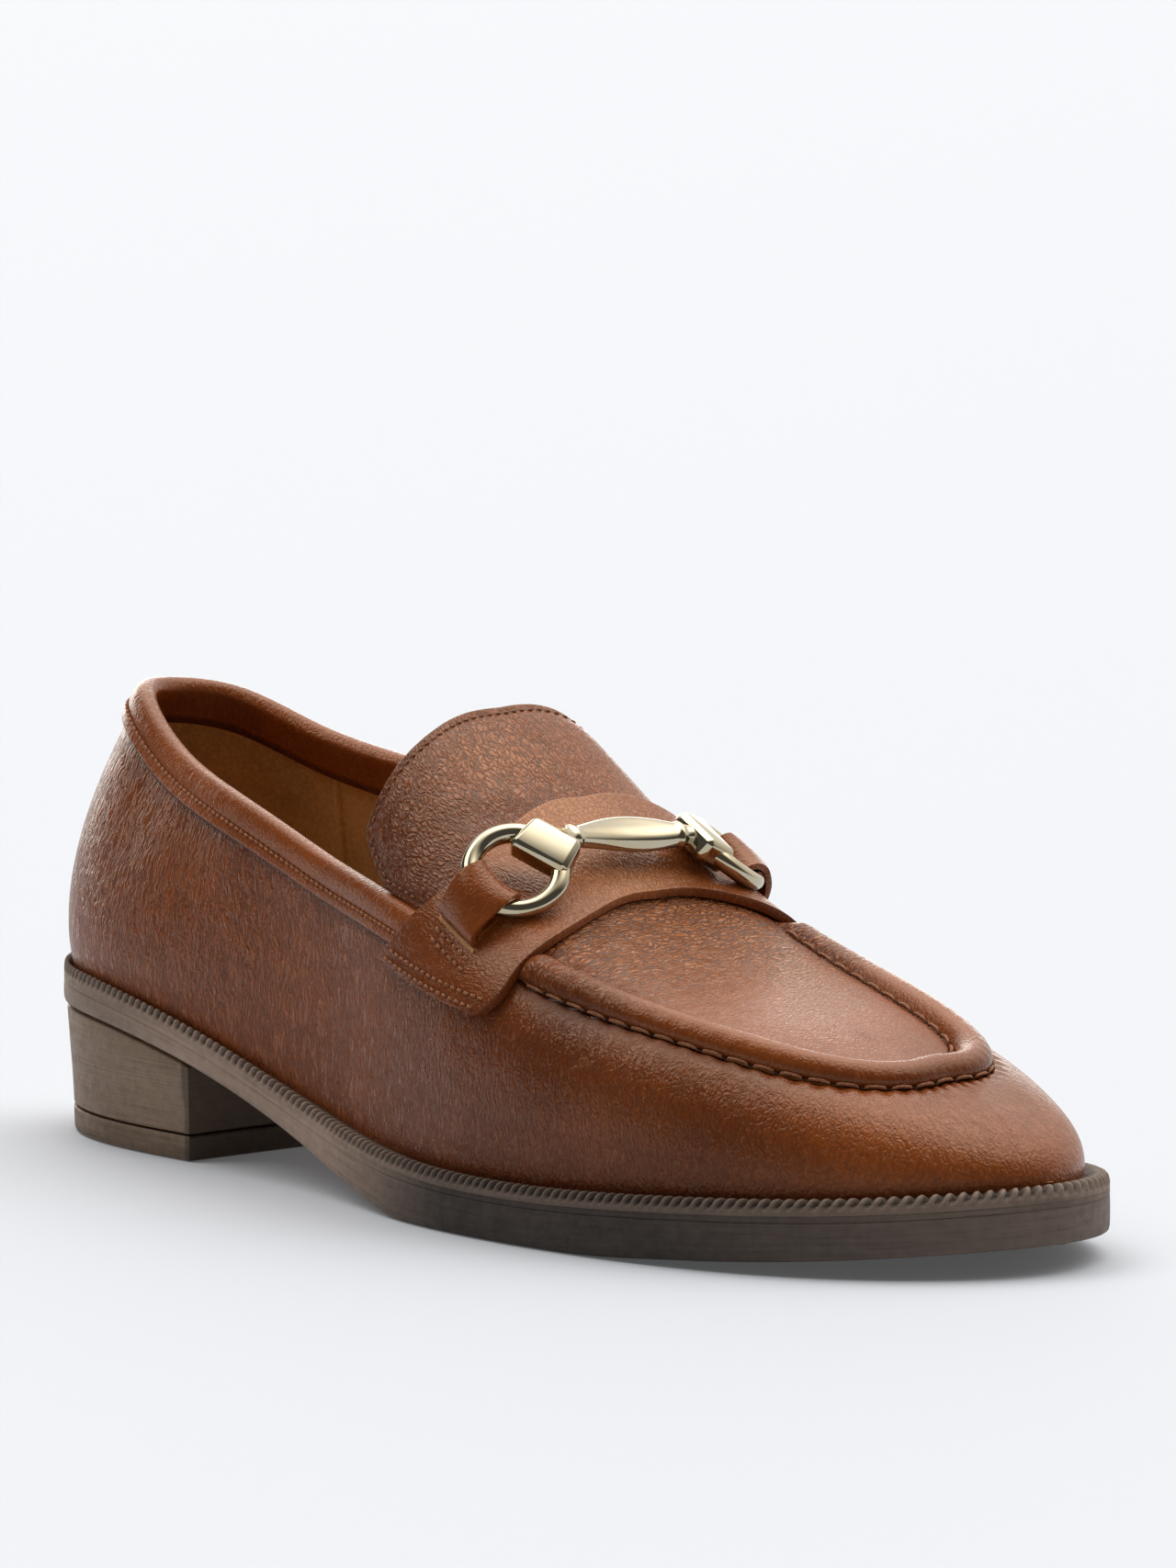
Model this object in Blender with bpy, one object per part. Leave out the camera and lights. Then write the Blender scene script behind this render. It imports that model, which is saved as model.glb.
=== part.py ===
"""A right loafer with a snaffle bit across its instep, standing on its sole.

Metres. +X runs from heel to toe, +Y to the wearer's left (the inner side), +Z up.
Every leather piece is cut from one last: a smooth form whose sections run from the feather
edge, where upper and sole meet, to the ridge along the top of the foot.
"""

from collections import namedtuple

import bmesh
import bpy
import numpy as np
from mathutils import Vector

MM = 0.001

# Clearances and thicknesses
GAP = 0.0003
UPPER_WALL = 0.0018
TONGUE_WALL = 0.0022
STRAP_WALL = 0.0019
BINDING_WALL = 0.0009
TAB_WALL = 0.0012
INSOLE_THICK = 0.0022
WELT_THICK = 0.0024

# The last. Each row is one section, given for both sides of the foot, lengths in millimetres:
# x, outer and inner are where it leaves the feather edge, whose height is feather, and it meets
# the ridge at spine_x, spine_y. The section's bow is a quartic curve: its handles lie at flare,
# shoulder and crown times its reach and flare_h, shoulder_h times its rise. outer_line and
# inner_line are the shares of the bow below the collar or, further forward, below the apron seam.
Station = namedtuple(
    "Station",
    "name x outer inner feather spine_x spine_y "
    "flare flare_h shoulder shoulder_h crown outer_line inner_line",
)
STATIONS = [
    Station("heel_back", 3.6, 0.0, 0.0, 30.8, 46, 0, 1.12, 0.25, 0.92, 0.58, 0.34, 0.620, 0.620),
    Station("heel_corner", 13.8, 18.2, 18.2, 30.6, 48, 0, 1.14, 0.25, 0.91, 0.56, 0.36, 0.620, 0.605),
    Station("heel_side", 34.0, 27.2, 27.2, 29.5, 58, 0, 1.14, 0.25, 0.85, 0.42, 0.41, 0.588, 0.582),
    Station("breast", 66.0, 29.3, 28.8, 23.5, 82, 1, 1.14, 0.26, 0.95, 0.60, 0.52, 0.482, 0.490),
    Station("waist", 105.0, 32.3, 28.6, 13.5, 115, 3, 0.98, 0.35, 1.02, 1.00, 0.80, 0.362, 0.370),
    Station("instep", 145.0, 41.5, 34.5, 9.0, 150, 2, 1.05, 0.40, 1.02, 1.00, 0.74, 0.478, 0.490),
    Station("ball", 180.0, 42.7, 35.8, 8.5, 180, 0, 1.08, 0.45, 1.11, 1.12, 0.66, 0.552, 0.565),
    Station("vamp", 212.0, 37.6, 35.0, 9.9, 203, 0, 1.07, 0.45, 1.08, 1.10, 0.64, 0.592, 0.620),
    Station("toe_corner", 243.5, 21.5, 27.2, 11.8, 214, 1, 1.05, 0.48, 1.01, 1.02, 0.62, 0.680, 0.700),
    Station("toe_tip", 259.0, -5.0, 5.0, 13.3, 216, 1, 1.04, 0.46, 1.00, 1.02, 0.62, 0.790, 0.790),
]

# The ridge along the shoe, in millimetres; behind the tongue it is the top of the last's cone.
Ridge = namedtuple("Ridge", "x height")
RIDGE = [
    Ridge(0, 106.0),
    Ridge(50, 106.0),
    Ridge(85, 103.0),
    Ridge(100, 97.5),
    Ridge(115, 88.5),
    Ridge(130, 77.5),
    Ridge(145, 66.5),
    Ridge(160, 56.7),
    Ridge(180, 47.4),
    Ridge(200, 41.8),
    Ridge(216, 37.7),
    Ridge(230, 33.5),
    Ridge(245, 29.0),
    Ridge(260, 24.5),
]

# The sole under each section: how far it stands out past the feather edge, and its underside.
Sole = namedtuple("Sole", "reach under")
SOLE = {
    "heel_back": Sole(0.0022, 0.0250),
    "heel_corner": Sole(0.0022, 0.0250),
    "heel_side": Sole(0.0024, 0.0243),
    "breast": Sole(0.0026, 0.0186),
    "waist": Sole(0.0032, 0.0076),
    "instep": Sole(0.0042, 0.0000),
    "ball": Sole(0.0048, 0.0000),
    "vamp": Sole(0.0050, 0.0012),
    "toe_corner": Sole(0.0050, 0.0036),
    "toe_tip": Sole(0.0050, 0.0052),
}
OUTSOLE_EDGE = 0.0008
TREAD_FLAT_FROM, TREAD_FLAT_TO = 0.146, 0.192
RIB_PITCH = 0.0030
RIB_DEPTH = 0.0011
WELT_INSET_FOOT = 0.0002
WELT_INSET_TOP = 0.0004
RIB_SLANT = 0.5
RIB_BACK = 0.6

# The heel
BREAST_X = 0.0635
LIFT_THICK = 0.0050
HEEL_INSET_TOP = 0.0006
HEEL_INSET_FOOT = 0.0018
LIFT_TAPER = 0.0003

# The apron seam, a rolled ridge inside the seam line: girth from the line, and height.
Roll = namedtuple("Roll", "girth height")
ROLL = [
    Roll(0.0000, -0.0004),
    Roll(0.0012, 0.0016),
    Roll(0.0028, 0.0029),
    Roll(0.0046, 0.0026),
    Roll(0.0062, 0.0009),
    Roll(0.0074, 0.0000),
]
ROLL_FADE = 0.006

# Collar binding
BINDING_WIDTH = 0.0068
BINDING_LIFT = 0.0004
BINDING_END_CLEAR = 0.002
BINDING_END_GAP = 0.0006

# Distances along the shoe below are measured from the section that meets the ridge here.
STRAP_RIDGE_X = 0.153
THROAT_ALONG = 0.0010
THROAT_CLEAR = 0.003

# Saddle strap: its back and front edges at each girth from the ridge. Its ends are cut aslant.
Strap = namedtuple("Strap", "girth back front")
STRAP = [
    Strap(0.0000, -0.0178, 0.0086),
    Strap(0.0065, -0.0166, 0.0094),
    Strap(0.0125, -0.0143, 0.0114),
    Strap(0.0195, -0.0108, 0.0145),
    Strap(0.0275, -0.0074, 0.0174),
    Strap(0.0335, -0.0055, 0.0186),
    Strap(0.0390, -0.0060, 0.0190),
    Strap(0.0450, -0.0092, 0.0186),
    Strap(0.0505, -0.0125, 0.0145),
    Strap(0.0585, -0.0180, 0.0085),
]
STRAP_END_BACK = 0.0585
STRAP_END_FRONT = 0.0502
STRAP_LIFT = 0.0004

# Tongue: its top edge at each girth from the ridge.
Tongue = namedtuple("Tongue", "girth top")
TONGUE = [
    Tongue(0.000, -0.0440),
    Tongue(0.006, -0.0420),
    Tongue(0.012, -0.0388),
    Tongue(0.018, -0.0353),
    Tongue(0.028, -0.0318),
    Tongue(0.037, -0.0315),
    Tongue(0.048, -0.0330),
]
TONGUE_HALF_GIRTH = 0.0475
TONGUE_CORNER = 0.10
TONGUE_MARGIN = 0.0012

# Bit: rings held by tabs that come up through slots in the strap. Each row gives a ring's place
# along the shoe and its girth, its height over the strap, its lean from the strap's slope and
# the place of its slot. The outer ring lies further from the ridge than the inner one.
Bit = namedtuple("Bit", "side along girth lift lean slot_along slot_girth")
OUTER_BIT = Bit(-1, 0.0034, 0.0288, 0.0037, 9.0, 0.0028, 0.0418)
INNER_BIT = Bit(1, 0.0020, 0.0236, 0.0026, 0.0, -0.0004, 0.0366)
BIT_MIDDLE = -0.0030
SLOT_LENGTH, SLOT_WIDTH = 0.0122, 0.0034
RING_RADIUS = 0.0082
WIRE_RADIUS = 0.0017
BLOCK_LENGTH, BLOCK_DEPTH, BLOCK_THICK = 0.0104, 0.0074, 0.0054
BAR_ALONG = -0.0024
BAR_LIFT = 0.0034
BAR_NECK = (0.0020, 0.0017)
BAR_MIDDLE = (0.0042, 0.0019)
BAR_SEAT = 0.4
TAB_WIDTH = 0.0112
TAB_RISE_UNDER, TAB_RISE_OVER = 0.0015, 0.0018

LEATHER = (0.190, 0.071, 0.030)
LINING = (0.180, 0.095, 0.040)
SOLE_COLOUR = (0.075, 0.060, 0.050)
STACK_COLOUR = (0.160, 0.115, 0.078)
PALE_GOLD = (0.830, 0.770, 0.600)


def spline(knots, values, closed=False):
    """A cubic curve through values at knots. A closed one returns to its first value at the last knot."""
    knots = np.asarray(knots, float)
    values = np.asarray(values, float).reshape(len(knots), -1)
    step = np.diff(knots)
    slope = np.diff(values, axis=0) / step[:, None]
    count = len(knots)
    matrix = np.eye(count)
    change = np.zeros_like(values)
    for i in range(1, count - 1):
        matrix[i, i - 1 : i + 2] = step[i - 1], 2 * (step[i - 1] + step[i]), step[i]
        change[i] = 6 * (slope[i] - slope[i - 1])
    if closed:
        matrix[0, [0, 1, -2]] = 2 * (step[0] + step[-1]), step[0], step[-1]
        change[0] = 6 * (slope[0] - slope[-1])
        matrix[-1, 0] = -1.0
    bend = np.linalg.solve(matrix, change)

    def at(u):
        u = np.asarray(u, float)
        if closed:
            u = knots[0] + np.mod(u - knots[0], knots[-1] - knots[0])
        i = np.clip(np.searchsorted(knots, u, side="right") - 1, 0, count - 2)
        h = step[i][..., None]
        a = (knots[i + 1] - u)[..., None]
        b = (u - knots[i])[..., None]
        curve = (bend[i] * a**3 + bend[i + 1] * b**3) / (6 * h)
        curve += (values[i] / h - bend[i] * h / 6) * a + (values[i + 1] / h - bend[i + 1] * h / 6) * b
        return curve

    return at


def station_knots():
    """Distance along the outline from the heel's back to each station, as the mean of both sides."""
    outer = np.array([(s.x, -s.outer) for s in STATIONS]) * MM
    inner = np.array([(s.x, s.inner) for s in STATIONS]) * MM
    chords = [np.linalg.norm(np.diff(side, axis=0), axis=1) for side in (outer, inner)]
    return np.concatenate([[0.0], np.cumsum(np.mean(chords, axis=0))])


KNOT = station_knots()
AT = {s.name: k for s, k in zip(STATIONS, KNOT)}
TOE = KNOT[-1]
ROUND = 2 * TOE
ridge_height = spline([row.x * MM for row in RIDGE], [row.height * MM for row in RIDGE])


def around(column):
    """One column of the table as values round the whole outline: outer side, toe, inner side."""
    there = [column(s, -1) for s in STATIONS]
    back = [column(s, +1) for s in STATIONS[-2::-1]]
    return there + back


def table_curve():
    columns = [
        around(lambda s, side: s.x * MM),
        around(lambda s, side: -s.outer * MM if side < 0 else s.inner * MM),
        around(lambda s, side: s.feather * MM),
        around(lambda s, side: s.spine_x * MM),
        around(lambda s, side: s.spine_y * MM),
        around(lambda s, side: s.flare),
        around(lambda s, side: s.flare_h),
        around(lambda s, side: s.shoulder),
        around(lambda s, side: s.shoulder_h),
        around(lambda s, side: s.crown),
        around(lambda s, side: s.outer_line if side < 0 else s.inner_line),
        around(lambda s, side: SOLE[s.name].reach),
        around(lambda s, side: SOLE[s.name].under),
    ]
    knots = np.concatenate([KNOT, ROUND - KNOT[-2::-1]])
    return spline(knots, np.array(columns).T, closed=True)


table = table_curve()


def opposite(u):
    """The station on the other side of the foot."""
    return ROUND - u


def last_point(u, v):
    """A point of the last: u runs round the outline, v from the feather edge, 0, to the ridge, 1."""
    u, v = np.broadcast_arrays(np.asarray(u, float), np.asarray(v, float))
    columns = np.moveaxis(table(u), -1, 0)
    x, y, feather, spine_x, spine_y, flare, flare_h, shoulder, shoulder_h, crown = columns[:10]
    w = 1 - v
    b0, b1, b2, b3, b4 = w**4, 4 * w**3 * v, 6 * w**2 * v**2, 4 * w * v**3, v**4
    reach = b0 + flare * b1 + shoulder * b2 + crown * b3
    rise = flare_h * b1 + shoulder_h * b2 + b3 + b4
    px = spine_x + (x - spine_x) * reach
    py = spine_y + (y - spine_y) * reach
    pz = feather + (ridge_height(px)[..., 0] - feather) * rise
    return np.stack([px, py, pz], -1)


def last_normal(u, v):
    """The outward unit normal of the last."""
    du, dv = 2e-4, 2e-3
    v = np.clip(v, dv, 1 - dv)
    along = last_point(np.asarray(u) + du, v) - last_point(np.asarray(u) - du, v)
    up = last_point(u, np.asarray(v) + dv) - last_point(u, np.asarray(v) - dv)
    normal = np.cross(along, up)
    return normal / np.linalg.norm(normal, axis=-1, keepdims=True)


def lifted(u, v, lift):
    return last_point(u, v) + last_normal(u, v) * np.asarray(lift, float)[..., None]


FINE = np.linspace(0, 1, 161)


def v_at_height(u, height):
    """The v at which the section at u first reaches a height."""
    z = last_point(u, FINE)[:, 2]
    return float(np.interp(height, np.maximum.accumulate(z), FINE))


def girth_to_v(u):
    """A function from girth, measured from the ridge down the section at u, to v."""
    points = last_point(u, FINE)[::-1]
    girth = np.concatenate([[0], np.cumsum(np.linalg.norm(np.diff(points, axis=0), axis=1))])
    return lambda w: np.interp(w, girth, FINE[::-1])


def v_to_girth(u, v):
    points = last_point(u, np.linspace(v, 1, 81))
    return float(np.linalg.norm(np.diff(points, axis=0), axis=1).sum())


def line_v(u):
    """v of the collar line, which runs on as the apron seam."""
    return float(table(u)[10])


def girth_of_line(u):
    return v_to_girth(u, line_v(u))


def across(u, girth, lift):
    """A point over the foot at station u: girth from the ridge is negative on the outer side."""
    side = u if girth <= 0 else opposite(u)
    return lifted(side, float(girth_to_v(side)(abs(girth))), lift)


strap_edges = spline([row.girth for row in STRAP], [(row.back, row.front) for row in STRAP])
tongue_top = spline([row.girth for row in TONGUE], [row.top for row in TONGUE])


def u_at_ridge(x):
    """The station whose section meets the ridge at x."""
    u = np.linspace(0, TOE, 600)
    return float(np.interp(x, table(u)[:, 3], u))


def make_object(name, points, faces, colour, roughness=0.5, metallic=0.0):
    """A closed mesh object, with doubles welded and its faces turned outwards."""
    mesh = bpy.data.meshes.new(name)
    mesh.from_pydata([tuple(p) for p in points], [], faces)
    edit = bmesh.new()
    edit.from_mesh(mesh)
    bmesh.ops.remove_doubles(edit, verts=edit.verts, dist=1e-6)
    bmesh.ops.dissolve_degenerate(edit, edges=edit.edges, dist=1e-7)
    bmesh.ops.recalc_face_normals(edit, faces=edit.faces)
    edit.to_mesh(mesh)
    edit.free()
    mesh.shade_smooth()
    mesh.set_sharp_from_angle(angle=np.radians(40))
    obj = bpy.data.objects.new(name, mesh)
    bpy.context.scene.collection.objects.link(obj)
    material = bpy.data.materials.new(name)
    material.use_nodes = True
    shader = material.node_tree.nodes["Principled BSDF"]
    shader.inputs["Base Color"].default_value = (*colour, 1.0)
    shader.inputs["Roughness"].default_value = roughness
    shader.inputs["Metallic"].default_value = metallic
    mesh.materials.append(material)
    obj.location = -ORIGIN
    return obj


def grid_faces(columns, rows, start=0):
    """Quads between neighbouring columns of points."""
    corners = [start + i * rows + j for i in range(columns - 1) for j in range(rows - 1)]
    return [(k, k + rows, k + rows + 1, k + 1) for k in corners]


def make_shell(name, outer, inner, faces, colour, roughness=0.5):
    """A sheet with thickness: two like surfaces, closed along every open edge."""
    outer, inner = np.asarray(outer), np.asarray(inner)
    _, first, same = np.unique(np.round(outer, 7), axis=0, return_index=True, return_inverse=True)
    same = same.reshape(-1)
    faces = [tuple(dict.fromkeys(same[i] for i in face)) for face in faces]
    faces = [face for face in faces if len(face) > 2]
    count = len(first)
    points = np.concatenate([outer[first], inner[first]])
    uses = {}
    for face in faces:
        for a, b in zip(face, face[1:] + face[:1]):
            uses.setdefault(frozenset((a, b)), []).append((a, b))
    rim = [(b, a, a + count, b + count) for pairs in uses.values() if len(pairs) == 1 for a, b in pairs]
    backs = [tuple(i + count for i in reversed(face)) for face in faces]
    return make_object(name, points, faces + backs + rim, colour, roughness)


def make_loft(name, rings, colour, roughness=0.5):
    """Closed rings of points, joined in order and capped by strips between like points of the two sides."""
    count = len(rings[0])
    faces = []
    for k in range(len(rings) - 1):
        for i in range(count):
            j = (i + 1) % count
            faces.append((k * count + i, k * count + j, (k + 1) * count + j, (k + 1) * count + i))
    for start in (0, (len(rings) - 1) * count):
        for i in range(count // 2):
            ends = (i, i + 1, (count - i - 1) % count, (count - i) % count)
            face = tuple(dict.fromkeys(start + k for k in ends))
            if len(face) > 2:
                faces.append(face)
    return make_object(name, np.concatenate(rings), faces, colour, roughness)


def spaced(start, end, count):
    return np.linspace(start, end, count)


def side_stations():
    """Stations down one side, heel back to toe tip: closer together round the heel and the toe."""
    parts = [
        spaced(0, AT["heel_side"], 6)[:-1],
        spaced(AT["heel_side"], AT["vamp"], 16)[:-1],
        spaced(AT["vamp"], TOE, 9),
    ]
    return np.concatenate(parts)


SIDE = side_stations()
LOOP = np.concatenate([SIDE, opposite(SIDE)[-2:0:-1]])


def outline_normal(u):
    """The outward direction of the outline seen from above."""
    step = 1e-4
    run = table(np.asarray(u) + step)[..., :2] - table(np.asarray(u) - step)[..., :2]
    normal = np.stack([run[..., 1], -run[..., 0]], -1)
    return normal / np.linalg.norm(normal, axis=-1, keepdims=True)


def feather_ring(u, grow, height):
    """The feather outline grown sideways, at the given heights."""
    rows = table(u)
    flat = rows[:, :2] + outline_normal(u) * np.broadcast_to(grow, len(u))[:, None]
    return np.column_stack([flat, np.broadcast_to(height, len(u))])


def sole_under(u):
    """The underside, flat on the floor under the tread."""
    rows = table(u)
    under = np.maximum(rows[:, 12], 0.0)
    tread = (rows[:, 0] > TREAD_FLAT_FROM) & (rows[:, 0] < TREAD_FLAT_TO)
    return np.where(tread, 0.0, under)


def sole_centre():
    """The middle of the outsole's length and width, at floor level."""
    u = np.linspace(0, ROUND, 1200)
    edge = feather_ring(u, table(u)[:, 11], 0.0)
    return (edge.min(axis=0) + edge.max(axis=0)) / 2


ORIGIN = Vector(sole_centre())
STRAP_U = u_at_ridge(STRAP_RIDGE_X)
THROAT_U = STRAP_U + THROAT_ALONG
STRAP_FRONT_U = STRAP_U + max(row.front for row in STRAP)


def outsole():
    reach = table(LOOP)[:, 11]
    under = sole_under(LOOP)
    top = table(LOOP)[:, 2] - GAP
    rings = [
        feather_ring(LOOP, reach - OUTSOLE_EDGE, under),
        feather_ring(LOOP, reach, under + OUTSOLE_EDGE),
        feather_ring(LOOP, reach, top - OUTSOLE_EDGE),
        feather_ring(LOOP, reach - OUTSOLE_EDGE, top),
    ]
    return make_loft("outsole", rings, SOLE_COLOUR, 0.6)


def welt():
    """The ribbed strip on the outsole's rim: a notch across it for every rib."""
    ribs = int(ROUND / RIB_PITCH)
    u = np.linspace(0, ROUND, 2 * ribs, endpoint=False)
    notch = np.where(np.arange(2 * ribs) % 2 == 0, 0.0, RIB_DEPTH)
    rows = table(u)
    base = rows[:, 2] + GAP
    top = base + WELT_THICK - notch
    seat = np.array([v_at_height(s, z) for s, z in zip(u, base + WELT_THICK)])
    wall = lifted(u, seat, np.full(len(u), 2 * GAP))
    foot = lifted(u, np.zeros(len(u)), np.full(len(u), 2 * GAP))
    inner_top = np.column_stack([wall[:, :2], base + WELT_THICK - RIB_BACK * notch])
    inner_foot = np.column_stack([foot[:, :2], base])
    outer_top = feather_ring(u, rows[:, 11] - WELT_INSET_TOP - RIB_SLANT * notch, top)
    outer_foot = feather_ring(u, rows[:, 11] - WELT_INSET_FOOT, base)
    rings = [inner_foot, outer_foot, outer_top, inner_top, inner_foot]
    count = len(u)
    faces = [
        (k * count + i, k * count + (i + 1) % count, (k + 1) * count + (i + 1) % count, (k + 1) * count + i)
        for k in range(4)
        for i in range(count)
    ]
    return make_object("welt", np.concatenate(rings), faces, SOLE_COLOUR, 0.6)


def heel_ring(inset, height):
    """The heel's outline: the sole's edge round the back, squared off at the breast."""
    reach_u = np.linspace(0, AT["waist"], 400)
    edge = feather_ring(reach_u, table(reach_u)[:, 11] - inset, 0.0)
    end = float(np.interp(BREAST_X, edge[:, 0], reach_u))
    u = np.concatenate([np.linspace(end, 0, 13), opposite(np.linspace(0, end, 13)[1:])])
    ring = feather_ring(u, table(u)[:, 11] - inset, 0.0)
    ring[[0, -1], 0] = BREAST_X
    ring[:, 2] = sole_under(u) - GAP if height is None else height
    return ring


def capped_rings(name, rings, colour, roughness):
    """Rings that run from one breast corner round to the other, closed by the breast and two caps."""
    count = len(rings[0])
    faces = []
    for k in range(len(rings) - 1):
        for i in range(count):
            j = (i + 1) % count
            faces.append((k * count + i, k * count + j, (k + 1) * count + j, (k + 1) * count + i))
    for start in (0, (len(rings) - 1) * count):
        for i in range(count // 2):
            ends = (start + i, start + i + 1, start + count - i - 2, start + count - i - 1)
            faces.append(tuple(dict.fromkeys(ends)))
    faces = [face for face in faces if len(face) > 2]
    return make_object(name, np.concatenate(rings), faces, colour, roughness)


def heel():
    block = [heel_ring(HEEL_INSET_FOOT, LIFT_THICK + GAP), heel_ring(HEEL_INSET_TOP, None)]
    capped_rings("heel_block", block, STACK_COLOUR, 0.55)
    lift = [heel_ring(HEEL_INSET_FOOT + LIFT_TAPER, 0.0), heel_ring(HEEL_INSET_FOOT, LIFT_THICK)]
    capped_rings("top_lift", lift, SOLE_COLOUR, 0.6)


def insole():
    margin = UPPER_WALL + 2 * GAP
    base = table(LOOP)[:, 2] + GAP
    rings = [
        feather_ring(LOOP, -margin, base),
        feather_ring(LOOP, -margin, base + INSOLE_THICK),
    ]
    return make_loft("insole", rings, LINING, 0.7)


def roll_height(u):
    """The apron roll fades out where it runs under the strap."""
    past = min(u, opposite(u)) - STRAP_FRONT_U
    return float(np.clip(past / ROLL_FADE, 0.0, 1.0))


def upper():
    """Quarters and vamp up to the collar line, then the apron with its rolled seam over the forefoot."""
    wall_rows, apron_rows = 9, 5
    outer, inner, faces = [], [], []

    def add_grid(stations, rows_of):
        start = len(outer)
        rows = 0
        for u in stations:
            v, lift = rows_of(u)
            rows = len(v)
            outer.extend(lifted(u, v, lift))
            inner.extend(lifted(u, v, np.full(rows, -UPPER_WALL)))
        faces.extend(grid_faces(len(stations), rows, start))

    def wall(u):
        v = np.linspace(0, line_v(u), wall_rows)
        lift = np.zeros(wall_rows)
        lift[-1] = ROLL[0].height * roll_height(u)
        return v, lift

    def apron(u):
        line = line_v(u)
        girth = v_to_girth(u, line)
        offsets = np.array([row.girth for row in ROLL])
        rest = np.linspace(offsets[-1], girth, apron_rows + 1)[1:]
        v = girth_to_v(u)(girth - np.concatenate([offsets, rest]))
        v[0], v[-1] = line, 1.0
        lift = np.concatenate([[row.height for row in ROLL], np.zeros(apron_rows)]) * roll_height(u)
        return v, lift

    forefoot = np.concatenate([[THROAT_U], SIDE[SIDE > THROAT_U + THROAT_CLEAR]])
    for u in (STRAP_FRONT_U, STRAP_FRONT_U + ROLL_FADE):
        forefoot[np.argmin(abs(forefoot - u))] = u
    side = np.concatenate([SIDE[SIDE < THROAT_U - THROAT_CLEAR], forefoot])
    ring = np.concatenate([side, opposite(side)[-2::-1]])
    add_grid(ring, wall)
    add_grid(np.concatenate([forefoot, opposite(forefoot)[-2::-1]]), apron)
    return make_shell("upper", outer, inner, faces, LEATHER, 0.45)


def tongue():
    """The broad flap that carries on from the apron, up the instep behind the strap."""
    rows, half = 11, 10
    base = THROAT_U - GAP
    outer, inner = [], []
    for rise in np.linspace(0, 1, rows):
        for share in np.linspace(-1, 1, 2 * half + 1):
            girth = share * TONGUE_HALF_GIRTH * (1 - TONGUE_CORNER * rise**6)
            u = base + (STRAP_U + tongue_top(abs(girth))[0] - base) * rise
            side = u if girth <= 0 else opposite(u)
            room = v_to_girth(side, line_v(side)) - TONGUE_MARGIN
            girth = np.clip(girth, -room, room)
            outer.append(across(u, girth, 0.0))
            inner.append(across(u, girth, -TONGUE_WALL))
    return make_shell("tongue", outer, inner, grid_faces(rows, 2 * half + 1), LEATHER, 0.45)


def binding_end(down, place):
    """The station where the band, this far below the collar, stops short of the strap's back edge."""
    u = STRAP_U + STRAP[-1].back
    for _ in range(12):
        u = STRAP_U + strap_edges(girth_of_line(place(u)) + down)[0] - BINDING_END_GAP
    return place(u)


def collar_binding():
    """The folded band stitched round the topline, from one back edge of the strap to the other."""
    rows = 4
    depth = np.linspace(0.0, BINDING_WIDTH, rows)
    clear = STRAP_U + STRAP[-1].back - BINDING_END_CLEAR
    side = SIDE[SIDE < clear][::-1]
    ends = np.array([[binding_end(down, lambda u: u), opposite(binding_end(down, opposite))] for down in depth])
    tails = [side[0] + (ends - side[0]) * share for share in (1.0, 0.66, 0.33)]
    columns = [tail[:, 0] for tail in tails]
    columns += [np.full(rows, u) for u in np.concatenate([side, opposite(side)[-2::-1]])]
    columns += [opposite(tail[:, 1]) for tail in tails[::-1]]
    outer, inner = [], []
    for column in columns:
        for u, down in zip(column, depth):
            v = float(girth_to_v(u)(girth_of_line(u) + down))
            outer.append(lifted(u, v, BINDING_LIFT + BINDING_WALL))
            inner.append(lifted(u, v, BINDING_LIFT))
    return make_shell("collar_binding", outer, inner, grid_faces(len(columns), rows), LEATHER, 0.45)


def strap_point(along, girth, lift):
    return across(STRAP_U + along, girth, lift)


def saddle_strap():
    """The band over the instep, with a slot near each end for the tab that holds a ring."""
    columns, rows = 27, 8
    outer, inner = [], []
    for reach in np.linspace(-1, 1, columns):
        for share in np.linspace(0, 1, rows):
            girth = reach * (STRAP_END_BACK + (STRAP_END_FRONT - STRAP_END_BACK) * share)
            back, front = strap_edges(abs(girth))
            along = back + (front - back) * share
            outer.append(strap_point(along, girth, STRAP_LIFT + STRAP_WALL))
            inner.append(strap_point(along, girth, STRAP_LIFT))
    strap = make_shell("saddle_strap", outer, inner, grid_faces(columns, rows), LEATHER, 0.45)
    for bit, name in ((OUTER_BIT, "slot_cutter_outer"), (INNER_BIT, "slot_cutter_inner")):
        centre, along, inward, up = strap_frame(bit.slot_along, bit.side * bit.slot_girth)
        sizes = (SLOT_LENGTH, SLOT_WIDTH, 6 * STRAP_WALL)
        corners = box_points(centre, (along, inward, up), sizes)
        add_boolean(strap, make_object(name, corners, BOX_FACES, LEATHER), "DIFFERENCE")
    return strap


def strap_frame(along, girth):
    """A point on top of the strap, with the directions along the shoe, to its inner side and up."""
    top = STRAP_LIFT + STRAP_WALL
    step = 0.0015
    toeward = strap_point(along + step, girth, top) - strap_point(along - step, girth, top)
    inward = strap_point(along, girth + step, top) - strap_point(along, girth - step, top)
    up = np.cross(toeward, inward)
    up /= np.linalg.norm(up)
    inward /= np.linalg.norm(inward)
    return strap_point(along, girth, top), np.cross(inward, up), inward, up


def box_points(centre, axes, sizes):
    """The eight corners of a box, in the order that BOX_FACES reads."""
    corners = []
    for a in (-0.5, 0.5):
        for b in (-0.5, 0.5):
            for c in (-0.5, 0.5):
                corners.append(centre + sum(s * k * axis for s, k, axis in zip((a, b, c), sizes, axes)))
    return corners


BOX_FACES = [(0, 1, 3, 2), (4, 6, 7, 5), (0, 4, 5, 1), (2, 3, 7, 6), (0, 2, 6, 4), (1, 5, 7, 3)]


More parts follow.
